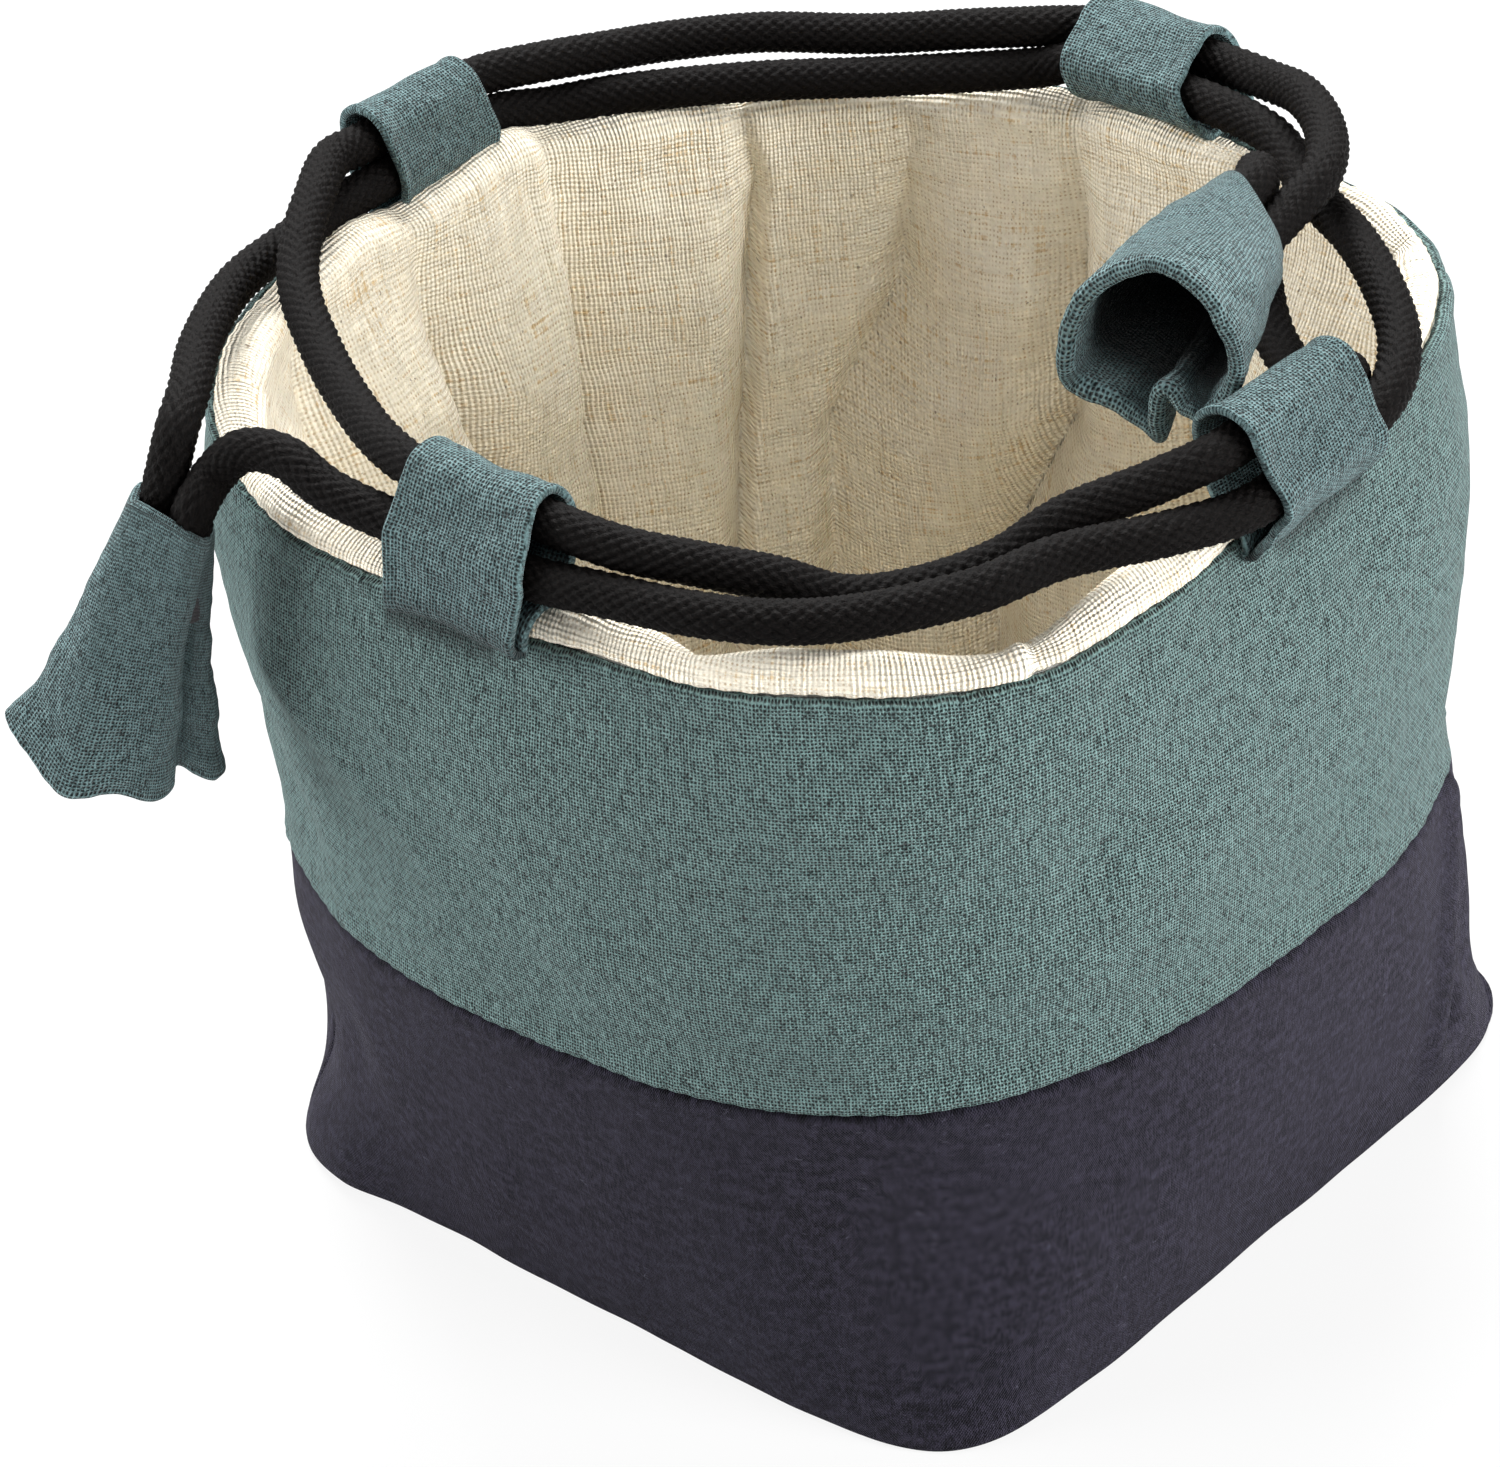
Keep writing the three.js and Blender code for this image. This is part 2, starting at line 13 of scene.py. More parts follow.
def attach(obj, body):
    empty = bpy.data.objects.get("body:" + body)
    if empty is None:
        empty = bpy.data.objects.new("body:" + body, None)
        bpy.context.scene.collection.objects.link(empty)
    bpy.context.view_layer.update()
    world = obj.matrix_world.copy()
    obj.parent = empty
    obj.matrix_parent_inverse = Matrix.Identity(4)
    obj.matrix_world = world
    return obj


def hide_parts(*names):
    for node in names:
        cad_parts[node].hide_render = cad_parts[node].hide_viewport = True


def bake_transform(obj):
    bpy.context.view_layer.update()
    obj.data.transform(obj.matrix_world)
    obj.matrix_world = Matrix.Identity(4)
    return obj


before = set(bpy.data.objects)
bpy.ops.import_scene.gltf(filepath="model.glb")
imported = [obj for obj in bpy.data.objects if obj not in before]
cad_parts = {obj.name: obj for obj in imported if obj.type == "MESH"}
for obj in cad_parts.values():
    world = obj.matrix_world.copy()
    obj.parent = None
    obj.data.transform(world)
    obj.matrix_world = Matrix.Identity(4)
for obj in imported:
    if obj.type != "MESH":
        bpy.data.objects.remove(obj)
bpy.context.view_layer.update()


# The camera looks down on the front corner at about 34 degrees, turned slightly on its axis.
camera_target = Vector((-0.01253, -0.01253, 0.05977))
camera_bearing = math.radians(45)
camera_elevation = math.radians(33.793)
camera_roll = math.radians(-6.036)
camera_distance = 0.9
camera_lens = 147.32  # millimetres, on a sensor of this width
camera_sensor = 36

view_back = Vector(
    (
        math.sin(camera_bearing) * math.cos(camera_elevation),
        -math.cos(camera_bearing) * math.cos(camera_elevation),
        math.sin(camera_elevation),
    )
)
view_level = Vector((math.cos(camera_bearing), math.sin(camera_bearing), 0))
view_rise = view_back.cross(view_level)
view_right = view_level * math.cos(camera_roll) + view_rise * math.sin(camera_roll)
view_up = view_rise * math.cos(camera_roll) - view_level * math.sin(camera_roll)
camera = bpy.data.objects.new("camera", bpy.data.cameras.new("camera"))
camera.data.lens = camera_lens
camera.data.sensor_width = camera_sensor
camera.data.clip_start = 0.05
camera_turn = Matrix((view_right, view_up, view_back)).transposed()
camera_place = Matrix.Translation(camera_target + view_back * camera_distance)
camera.matrix_world = camera_place @ camera_turn.to_4x4()
bpy.context.scene.collection.objects.link(camera)
bpy.context.scene.camera = camera
bpy.context.scene.view_settings.view_transform = "Standard"


# A material's nodes, written as sums: a Level is one varying number or colour of a Finish.
class Level:
    def __init__(self, finish, socket):
        self.finish = finish
        self.socket = socket

    def math(self, operation, first, second=None):
        values = {0: first} if second is None else {0: first, 1: second}
        return self.finish.node("ShaderNodeMath", {"operation": operation}, values)

    def __add__(self, other):
        return self.math("ADD", self, other)

    def __sub__(self, other):
        return self.math("SUBTRACT", self, other)

    def __rsub__(self, other):
        return self.math("SUBTRACT", other, self)

    def __mul__(self, other):
        return self.math("MULTIPLY", self, other)

    def __truediv__(self, other):
        return self.math("DIVIDE", self, other)

    __radd__ = __add__
    __rmul__ = __mul__

    def above(self, other):
        return self.math("GREATER_THAN", self, other)

    def plain_size(self):
        """The number without its sign."""
        return self.math("ABSOLUTE", self)

    def wave(self):
        return self.math("SINE", self)

    def ridges(self):
        """From 0 between two threads to 1 on one."""
        return self.wave() * 0.5 + 0.5

    def clipped(self):
        return self.math("MAXIMUM", self.math("MINIMUM", self, 1), 0)

    def between(self, low, high):
        """0 below low, 1 above high, and smooth in between."""
        values = {"Value": self, "From Min": low, "From Max": high}
        return self.finish.node("ShaderNodeMapRange", {"interpolation_type": "SMOOTHSTEP"}, values)


class Finish:
    """A material, or the surround, with the nodes that make it up."""

    def __init__(self, name, world=None):
        self.material = world or bpy.data.materials.new(name)
        self.material.use_nodes = True
        self.tree = self.material.node_tree
        self.tree.nodes.clear()

    def node(self, kind, settings, inputs, output=0):
        """One node: its settings first, then its inputs' values or links."""
        made = self.tree.nodes.new(kind)
        for name, value in settings.items():
            setattr(made, name, value)
        for name, value in inputs.items():
            if isinstance(value, Level):
                self.tree.links.new(value.socket, made.inputs[name])
            else:
                made.inputs[name].default_value = value
        return Level(self, made.outputs[output]) if made.outputs else None

    def on_cloth(self):
        """Where a point is on the flat cloth, in metres."""
        return self.node("ShaderNodeUVMap", {"uv_map": "cloth"}, {})

    def ways(self, place):
        """How far across the cloth a place is, and how far along it."""
        return [self.node("ShaderNodeSeparateXYZ", {}, {"Vector": place}, way) for way in "XY"]

    def stretched(self, place, across, along):
        """The place with each direction shortened, so that a pattern on it is drawn out."""
        factors = (across, along, 1)
        return self.node("ShaderNodeVectorMath", {"operation": "MULTIPLY"}, {0: place, 1: factors})

    def cloud(self, place, size, detail=2.0, roughness=0.5):
        """Smooth noise from 0 to 1, with lumps of that size in metres."""
        inputs = {"Vector": place, "Scale": 1 / size, "Detail": detail, "Roughness": roughness}
        return self.node("ShaderNodeTexNoise", {}, inputs)

    def thread_ways(self, place, pitch, wander_sizes):
        """The turns of the warp's and of the weft's waves. The threads wander as they go."""
        return [
            way * (2 * math.pi / pitch) + self.cloud(place, size) * 7.0
            for way, size in zip(self.ways(place), wander_sizes)
        ]

    def slubs(self, place, size, shortening):
        """Thick places in the warp and in the weft, drawn out along the threads."""
        warp = self.cloud(self.stretched(place, 1.0, shortening), size, 2.0, 0.6)
        weft = self.cloud(self.stretched(place, shortening, 1.0), size, 2.0, 0.6)
        return warp, weft

    def mixed(self, share, first, second):
        """The first colour turned into the second by a share."""
        settings = {"data_type": "RGBA", "blend_type": "MIX", "clamp_factor": True}
        return self.node("ShaderNodeMix", settings, {0: share, 6: first, 7: second}, 2)

    def bumped(self, height, depth):
        """A surface roughened by a height, whose full range is that deep in metres."""
        inputs = {"Height": height, "Distance": depth, "Strength": 1.0}
        return self.node("ShaderNodeBump", {}, inputs)

    def surface(self, **sockets):
        """The finished material, from its shader's sockets."""
        inputs = {name.replace("_", " "): value for name, value in sockets.items()}
        shader = self.node("ShaderNodeBsdfPrincipled", {}, inputs)
        self.node("ShaderNodeOutputMaterial", {}, {"Surface": shader})
        return self.material


# The studio: a white floor that keeps a faint shadow, a dim white surround, and four large soft
# lamps: the main one high behind the bag, a lower one on each side, a weak one high in front.
floor_finish = Finish("floor_white")
floor_paper = (0.68, 0.68, 0.68, 1)
camera_sees = floor_finish.node("ShaderNodeLightPath", {}, {}, "Is Camera Ray")
paper = floor_finish.node("ShaderNodeBsdfDiffuse", {}, {"Color": floor_paper})
glow = floor_finish.node("ShaderNodeEmission", {}, {"Color": (1, 1, 1, 1), "Strength": 1.0})
floor_glow_share = 0.84
floor_surface = floor_finish.node(
    "ShaderNodeMixShader", {}, {0: camera_sees * floor_glow_share, 1: paper, 2: glow}
)
floor_finish.node("ShaderNodeOutputMaterial", {}, {"Surface": floor_surface})


def piece_from(shape, name, material):
    """An object in the scene, from a bmesh that is then given up."""
    mesh = bpy.data.meshes.new(name)
    shape.to_mesh(mesh)
    shape.free()
    mesh.materials.append(material)
    piece = bpy.data.objects.new(name, mesh)
    bpy.context.scene.collection.objects.link(piece)
    return piece


floor_shape = bmesh.new()
bmesh.ops.create_grid(floor_shape, x_segments=1, y_segments=1, size=6)
piece_from(floor_shape, "floor", floor_finish.material)

world = bpy.data.worlds.new("surround")
bpy.context.scene.world = world
surround = Finish("surround", world)
rays = ["Is Camera Ray", "Is Glossy Ray", "Is Transmission Ray"]
seen = [surround.node("ShaderNodeLightPath", {}, {}, ray) for ray in rays]
seen_directly = (seen[0] + seen[1] + seen[2]).clipped()
ambient_strength = 0.14
strength = seen_directly * (1 - ambient_strength) + ambient_strength
sky = surround.node("ShaderNodeBackground", {}, {"Color": (1, 1, 1, 1), "Strength": strength})
surround.node("ShaderNodeOutputWorld", {}, {"Surface": sky})

lamp_size = 0.8


def soft_lamp(name, place, watts):
    """A square lamp that points at the bag."""
    lamp = bpy.data.objects.new(name, bpy.data.lights.new(name, "AREA"))
    lamp.data.shape = "SQUARE"
    lamp.data.size = lamp_size
    lamp.data.energy = watts
    lamp.location = place
    lamp.rotation_euler = (-Vector(place)).to_track_quat("-Z", "Y").to_euler()
    bpy.context.scene.collection.objects.link(lamp)


soft_lamp("lamp_back", (-0.61, 0.61, 1.23), 54)
soft_lamp("lamp_right", (1.34, 0.36, 0.56), 34)
soft_lamp("lamp_left", (-1.07, -0.89, 0.56), 27)
soft_lamp("lamp_front", (0.55, -0.55, 1.15), 3.5)


# The wall's form. Every cloth of the bag follows it: a section is square with round corners,
# wider towards the rim, and the bag sags towards its back corner as it rises.
wall_sections = np.array(
    [
        # height, half the width across two walls, centre to corner, sag
        (0.000, 0.0710, 0.0915, -0.0035),
        (0.006, 0.0735, 0.0895, -0.0020),
        (0.025, 0.0780, 0.0875, 0.0030),
        (0.048, 0.0800, 0.0860, 0.0060),
        (0.103, 0.0830, 0.0910, 0.0080),
        (0.116, 0.0810, 0.0895, 0.0085),
    ]
)
wall_thickness = 0.0068
rim_seam_height = 0.116
rim_arc_centre = rim_seam_height + 0.0005  # the rim is a half circle round this height
rim_arc_radius = wall_thickness / 2
band_seam_height = 0.048
mean_reach = 0.088  # for lengths along the wall
left_seam_bearing = -135
right_seam_bearing = 45


def smooth_between(table, where):
    """The table's other columns at places between those of its first one, without corners."""
    places, values = table[:, 0], table[:, 1:]
    slopes = np.gradient(values, places, axis=0)
    where = np.clip(np.atleast_1d(where), places[0], places[-1])
    low = np.clip(np.searchsorted(places, where) - 1, 0, len(places) - 2)
    span = (places[low + 1] - places[low])[:, None]
    t = (where - places[low])[:, None] / span
    start = values[low] * (1 + 2 * t) * (1 - t) ** 2 + slopes[low] * span * t * (1 - t) ** 2
    end = values[low + 1] * t**2 * (3 - 2 * t) + slopes[low + 1] * span * t**2 * (t - 1)
    return start + end


def wall_place(bearing, height, inset):
    """Points so far inside the wall's outer face, at bearings in degrees and heights."""
    half, corner, sag = smooth_between(wall_sections, height).T
    turn = np.radians(bearing)
    power = 1 / (0.5 - np.log2(corner / half))
    across = np.abs(np.cos(turn)) ** power + np.abs(np.sin(turn)) ** power
    reach = half / across ** (1 / power) - inset
    lean = sag / math.sqrt(2)
    return np.stack([reach * np.cos(turn) - lean, reach * np.sin(turn) + lean, height], axis=1)


def thickened(piece, thickness, offset):
    """Gives a surface its thickness: behind it (offset -1), in front of it (1) or both (0)."""
    layer = piece.modifiers.new("thickness", "SOLIDIFY")
    layer.thickness = thickness
    layer.offset = offset
    return layer


def cloth_object(name, columns, rows, place, material, thickness=0.0, merge=0.0):
    """A piece of cloth from a flat grid. place turns each point's two shares, across and up,
    into its place and its place on the flat cloth. A piece whose edges meet is closed there,
    where its points lie nearer than the merge distance."""
    shape = bmesh.new()
    bmesh.ops.create_grid(shape, x_segments=columns, y_segments=rows, size=1)
    flat = shape.loops.layers.uv.new("cloth")
    shares = np.array([vert.co[:2] for vert in shape.verts]) / 2 + 0.5
    points, on_cloth = place(shares[:, 0], shares[:, 1])
    for vert, point in zip(shape.verts, points):
        vert.co = point
    for face in shape.faces:
        face.smooth = True
        for corner in face.loops:
            corner[flat].uv = on_cloth[corner.vert.index]
    if merge:
        bmesh.ops.remove_doubles(shape, verts=shape.verts, dist=merge)
        bmesh.ops.recalc_face_normals(shape, faces=shape.faces)
    piece = piece_from(shape, name, material)
    if thickness:
        thickened(piece, thickness, -1).use_quality_normals = True
    return piece


def lumps(points, size, seed):
    """Smooth noise from -1 to 1 at each point, with lumps of about that size."""
    shift = Vector((3.1, 5.3, 7.7)) * seed
    return np.array([noise.noise(Vector(point) / size + shift) for point in points])


def crumpled(points, crumples, seed=0):
    """How far crumples stand out. Each kind of crumple is (height, size, its own seed)."""
    return sum(height * lumps(points, size, seed + own) for height, size, own in crumples)


def near_line(bearing, height, line, width):
    """1 on a line drawn on the wall, falling smoothly to 0 at about its width. The line is a
    list of (bearing, height) points."""
    metres = math.radians(1) * mean_reach
    nearest = np.full(len(bearing), 1e9)
    bearing = (bearing - line[0][0] + 180) % 360 - 180 + line[0][0]
    here = np.stack([bearing * metres, height], axis=1)
    for first, last in zip(line, line[1:]):
        start = np.array((first[0] * metres, first[1]))
        run = np.array((last[0] * metres, last[1])) - start
        along = np.clip(((here - start) @ run) / (run @ run), 0, 1)
        gap = np.linalg.norm(here - start - along[:, None] * run, axis=1)
        nearest = np.minimum(nearest, gap)
    return np.exp(-((nearest / width) ** 2))


def outward(bearing):
    """The level way out of the bag at each bearing."""
    turn = np.radians(bearing)
    return np.stack([np.cos(turn), np.sin(turn), np.zeros(len(turn))], axis=1)


# How the outer cloth gives: in soft crumples all over, and along lines at which it is pushed in
# (-) or stands out, each with its depth and width.
wall_crumples = [(0.0007, 0.028, 1), (0.0004, 0.011, 2)]
wall_folds = [
    ([(-135, 0.004), (-134, 0.010)], -0.0020, 0.010),
    ([(-136, 0.030), (-136, 0.100)], 0.0009, 0.014),
    ([(44, 0.055), (44, 0.105)], -0.0024, 0.014),
    ([(-116, 0.094), (-108, 0.084), (-98, 0.076)], 0.0012, 0.006),
    ([(-75, 0.068), (-50, 0.062), (-20, 0.070)], 0.0010, 0.012),
    ([(-70, 0.086), (-45, 0.080), (-15, 0.090)], -0.0009, 0.010),
    ([(45, 0.003), (44, 0.012)], -0.0015, 0.010),
    ([(40, 0.040), (42, 0.018)], 0.0010, 0.008),
    ([(-134, 0.020), (-122, 0.024)], -0.0030, 0.010),
    ([(-134, 0.004), (-124, 0.003)], 0.0020, 0.006),
    ([(-112, 0.012), (-98, 0.030), (-88, 0.026)], -0.0012, 0.010),
    ([(-133, 0.078), (-121, 0.064)], -0.0014, 0.006),
    ([(-128, 0.092), (-112, 0.080), (-100, 0.078)], -0.0010, 0.009),
    ([(38, 0.046), (31, 0.012)], -0.0030, 0.0042),
    ([(33, 0.044), (26, 0.008)], 0.0018, 0.0036),
    ([(43, 0.036), (38, 0.014)], -0.0022, 0.004),
    ([(12, 0.096), (22, 0.072)], -0.0010, 0.010),
    ([(-30, 0.104), (-27, 0.084)], -0.0010, 0.008),
    ([(-60, 0.016), (-38, 0.022)], 0.0012, 0.012),
    ([(90, 0.090), (105, 0.070), (112, 0.058)], -0.0015, 0.010),
    ([(150, 0.098), (142, 0.076)], -0.0018, 0.009),
    ([(180, 0.084), (196, 0.070), (206, 0.066)], -0.0014, 0.009),
    ([(75, 0.030), (92, 0.018)], -0.0014, 0.009),
    ([(160, 0.026), (176, 0.018)], -0.0015, 0.010),
]
# How far the rim is drawn in (-) or stands out, how much higher than the plain rim it rises, and
# how many degrees over the rim's half circle the outer cloth reaches before the lining starts
rim_form = np.array(
    [
        # bearing, stands out, rises, outer cloth's reach
        (-155, 0.0000, 0.0042, 66),
        (-137, 0.0000, 0.0040, 62),
        (-128, 0.0000, 0.0024, 30),
        (-119, -0.0005, 0.0008, 0),
        (-105, -0.0010, 0.0000, 0),
        (-86, -0.0030, 0.0000, 0),
        (-65, -0.0025, 0.0000, 0),
        (-50, -0.0015, 0.0000, 0),
        (-38, 0.0015, 0.0000, 0),
        (-29, 0.0020, 0.0000, 0),
        (-20, -0.0005, 0.0000, 0),
        (-9, -0.0030, 0.0000, 0),
        (2, -0.0032, 0.0006, 20),
        (18, -0.0015, 0.0026, 62),
        (41, 0.0002, 0.0030, 66),
        (55, -0.0006, 0.0010, 62),
        (75, -0.0014, 0.0006, 82),
        (95, 0.0000, 0.0002, 76),
        (108, -0.0025, 0.0000, 70),
        (125, -0.0065, 0.0000, 62),
        (145, -0.0085, 0.0008, 50),
        (160, -0.0030, 0.0026, 50),
        (170, 0.0000, 0.0044, 50),
        (178, 0.0000, 0.0026, 55),
        (187, 0.0000, 0.0030, 60),
        (195, 0.0004, 0.0050, 66),
    ]
)
rim_form_depth = 0.032  # the rim's own form dies away this far below it


def rim_values(bearing, column):
    """A column of the rim's form at bearings between those of its rows."""
    return np.interp(bearing, rim_form[:, 0], rim_form[:, column], period=360)


def eased(share):
    """A share from 0 to 1 that starts and ends gently."""
    share = np.clip(share, 0, 1)
    return share * share * (3 - 2 * share)


def wall_give(points, bearing, height):
    """How far the wall's cloth stands out from its plain form."""
    give = crumpled(points, wall_crumples)
    for line, depth, width in wall_folds:
        give += depth * near_line(bearing, height, line, width)
    near_rim = eased((height - rim_seam_height + rim_form_depth) / rim_form_depth)
    return give + rim_values(bearing, 1) * near_rim


def wall_surface(bearing, run, stand=0.0):
    """Points on the wall, a run up from the floor, over the rim and down the inside, and how far
    they stand off it."""
    turn = np.clip((run - rim_arc_centre) / rim_arc_radius, 0, math.pi)
    down = np.clip(run - rim_arc_centre - math.pi * rim_arc_radius, 0, None)
    inset = rim_arc_radius * (1 - np.cos(turn))
    height = np.minimum(run, rim_arc_centre) + rim_arc_radius * np.sin(turn) - down
    followed = np.minimum(height, rim_seam_height)
    points = wall_place(bearing, followed, inset)
    give = wall_give(wall_place(bearing, followed, 0.0), bearing, followed)
    points += outward(bearing) * (give + stand * np.cos(turn))[:, None]
    rise = rim_values(bearing, 2) * eased((height - rim_seam_height + rim_form_depth) / rim_form_depth)
    points[:, 2] = height + rise + stand * np.sin(turn)
    return points


def seam_run(bearing):
    """The run up the wall at which the rim seam lies."""
    return rim_seam_height + np.radians(rim_values(bearing, 3)) * rim_arc_radius


# Puckers beside a seam: the stitches draw the cloth in every few millimetres.
stitch_pitch = 0.0036
pucker_height = 0.0003


def puckers(bearing, seed):
    """From 0 between two puckers to 1 on one, unevenly spaced along a seam."""
    length = np.radians(bearing) * mean_reach
    places = np.stack([length, np.zeros(len(length)), np.zeros(len(length))], axis=1)
    drift = 0.8 * lumps(places, 0.012, seed)
    strength = 0.65 + 0.5 * lumps(places, 0.007, seed + 1)
    return (0.5 + 0.5 * np.sin(2 * math.pi * length / stitch_pitch + 2 * drift)) * strength


def seam_tuck(distance, radius):
    """How far the cloth turns in at a distance from its sewn edge, as a quarter circle."""
    close = np.clip(distance / radius, 0, 1)
    return radius * (1 - np.sqrt(1 - (1 - close) ** 2))


def wall_panel(name, bearings, grid, form, seed, material, thickness):
    """A piece of cloth along the wall between two bearings. form gives the run up the wall and
    how far the cloth stands off there, from the bearing, the share of the way up, the distance
    from the nearer side edge and the seed."""
    first, last = bearings

    def place(across, up):
        bearing = first + (last - first) * across
        side = np.minimum(across, 1 - across) * math.radians(last - first) * mean_reach
        run, stand = form(bearing, up, side, seed)
        flat = np.stack([np.radians(bearing) * mean_reach, run], axis=1)
        return wall_surface(bearing, run, stand), flat

    return cloth_object(name, *grid, place, material, thickness)


# Lower outer cloth: navy cotton with a short nap, in a front and a back panel that meet at two
# opposite corners. Its bottom edge is sewn to the bottom, its top edge to the upper cloth.
def dyed(red, green, blue):
    """A colour as it looks on a screen, as the renderer counts it."""
    tones = [tone / 255 for tone in (red, green, blue)]
    linear = [((t + 0.055) / 1.055) ** 2.4 if t > 0.04045 else t / 12.92 for t in tones]
    return (*linear, 1)


navy = Finish("navy_napped_cotton")
place = navy.on_cloth()
across, along = navy.ways(place)
thread_pitch = 0.00042
threads = (across * (2 * math.pi / thread_pitch)).wave() * (along * (2 * math.pi / thread_pitch)).wave()
combed = navy.stretched(place, 1.0, 0.35)
nap = navy.cloud(combed, 0.0004, 3.0, 0.65)
matted = navy.cloud(place, 0.0016, 4.0, 0.7)
rubbed = navy.cloud(place, 0.022, 3.0, 0.6)
streaks = navy.cloud(navy.stretched(place, 0.22, 1.0), 0.0011, 2.0, 0.6)
fuzz = (nap * 0.36 + matted * 0.44 + streaks * 0.20).between(0.425, 0.60)
navy_tone = navy.mixed(fuzz, dyed(3, 3, 7), dyed(50, 47, 61))
navy_tone = navy.mixed(rubbed.between(0.35, 0.75) * 0.4, navy_tone, dyed(41, 39, 50))
hair_field = navy.cloud(navy.stretched(place, 0.3, 1.0), 0.0009, 1.0, 0.4)
hairs = 1 - (hair_field - 0.5).plain_size().between(0.002, 0.012)
hairs = hairs * navy.cloud(place, 0.004, 1.0).between(0.60, 0.72)
navy_tone = navy.mixed(hairs * 0.5, navy_tone, dyed(104, 101, 118))
relief = nap * 0.5 + matted * 0.4 + threads * 0.1
lower_cloth = navy.surface(
    Base_Color=navy_tone,
    Roughness=0.93,
    Sheen_Weight=0.24,
    Sheen_Roughness=0.5,
    Sheen_Tint=dyed(150, 146, 165),
    Specular_IOR_Level=0.1,
    Normal=navy.bumped(relief, 0.0022),
)

outer_thickness = 0.0012
pucker_reach = 0.004
bottom_tuck = 0.0008
seam_tuck_radius = 0.0022  # where two panels meet, and half as deep at the side seams


def lower_form(bearing, up, side, seed):
    """The lower cloth turns in at its edges, and puckers along its seam with the upper one."""
    run = band_seam_height * up
    edge = band_seam_height - run
    pucker = puckers(bearing, seed)
    tuck = seam_tuck(edge, seam_tuck_radius) * (0.85 + 0.3 * pucker)
    tuck += 0.5 * seam_tuck(side, seam_tuck_radius)
    tuck += seam_tuck(run, bottom_tuck)
    return run, pucker_height * pucker * np.exp(-edge / pucker_reach) - tuck


front_bearings = (left_seam_bearing, right_seam_bearing)
back_bearings = (right_seam_bearing, left_seam_bearing + 360)
for side, bearings, seed in [("front", front_bearings, 11), ("back", back_bearings, 12)]:
    name = f"lower_cloth_{side}"
    panel = wall_panel(name, bearings, (330, 70), lower_form, seed, lower_cloth, outer_thickness)
    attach(panel, "bag")
    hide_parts(f"lower_outer_{side}")


# Upper outer cloth: teal cotton crepe, loosely woven, so that single threads and the small
# dark gaps between them show. Its lower edge rolls over the seam with the navy cloth.
feet_height = 0.1128  # of the shade under the loops, along the wall
feet_shade_reach = 0.0036
feet_shade_edge = 0.001
fold_shade_start = 0.0020  # along a strap's cloth, from its fold at the foot
fold_shade_length = 0.0040


def teal_finish(name, thread=(112, 140, 138), painted_shade_from=None, loop_feet=(), strap_width=None):
    """The teal cloth. A bell's cloth has painted shade inside, from so far along it. A wall's cloth
    has painted shade where the loops' feet stand over it, from so far to so far across it. A
    strap's has painted shade where it folds under, and is plain and a little lighter, as painted
    highlight, on its cut edges."""
    teal = Finish(name)
    place = teal.on_cloth()
    across, along = teal.ways(place)
    warp_way, weft_way = teal.thread_ways(place, pitch=0.00050, wander_sizes=(0.0026, 0.0023))
    threads = 1 - (1 - warp_way.ridges()) * (1 - weft_way.ridges())
    over = (warp_way * 0.5).wave() * (weft_way * 0.5).wave()
    warp_slub, weft_slub = teal.slubs(place, size=0.0005, shortening=0.12)
    slubs = (warp_slub + weft_slub) * 0.5
    crinkle = teal.cloud(teal.stretched(place, 1.0, 0.5), 0.0009, 3.0, 0.65)
    bumps = teal.cloud(place, 0.0024, 3.0, 0.6)
    patches = teal.cloud(place, 0.018, 3.0, 0.55)
    light = threads * 0.50 + over * 0.12 + slubs * 0.75 + crinkle * 0.60
    if strap_width:
        spot = teal.node("ShaderNodeTexCoord", {}, {}, "Object")
        grain = teal.cloud(spot, 0.0006, 2.0, 0.6)
        # The cut edges have no weave, only a plain mottle, set a little lighter than the faces: painted
        # highlight on the strap's rolled edges.
        on_edge = across.plain_size().above(strap_width * 0.49)
        light = light * (1 - on_edge) + (grain * 0.9 + 0.65) * on_edge
    tone = teal.mixed(light.between(0.84, 1.26), dyed(2, 13, 15), dyed(*thread))
    tone = teal.mixed(patches.between(0.35, 0.7) * 0.10, tone, dyed(70, 88, 88))
    soft = feet_shade_edge
    # Painted shade on the wall just below each loop's foot, where the strap stands over it.
    for first, last in loop_feet:
        under = across.between(first - soft, first + soft) - across.between(last - soft, last + soft)
        under = under * (1 - ((along - feet_height).plain_size() / feet_shade_reach).clipped())
        tone = teal.mixed(under.clipped() * 0.75, tone, dyed(12, 20, 22))
    if strap_width:
        # Painted shade on the strap's cloth where it folds under at the foot.
        painted_fold_shade = 1 - ((along - fold_shade_start) / fold_shade_length).clipped()
        tone = teal.mixed(painted_fold_shade * 0.75, tone, dyed(10, 18, 20))
    if painted_shade_from:
        # Painted shade in the bell's hollow: the inside cloth turns almost black from just inside the
        # mouth to near the neck.
        painted_shade_until = 1.90 * bell_length
        painted_hollow_shade = ((along - painted_shade_from) / (0.12 * bell_length)).clipped()
        painted_hollow_shade = painted_hollow_shade * ((painted_shade_until - along) / (0.08 * bell_length)).clipped()
        tone = teal.mixed(painted_hollow_shade * 0.92, tone, dyed(7, 9, 10))
    return teal.surface(
        Base_Color=tone,
        Roughness=0.95,
        Sheen_Weight=0.10,
        Sheen_Roughness=0.5,
        Specular_IOR_Level=0.15,
        Normal=teal.bumped(threads * 0.18 + slubs * 0.2 + crinkle * 0.5 + bumps * 0.9, 0.0026),
    )


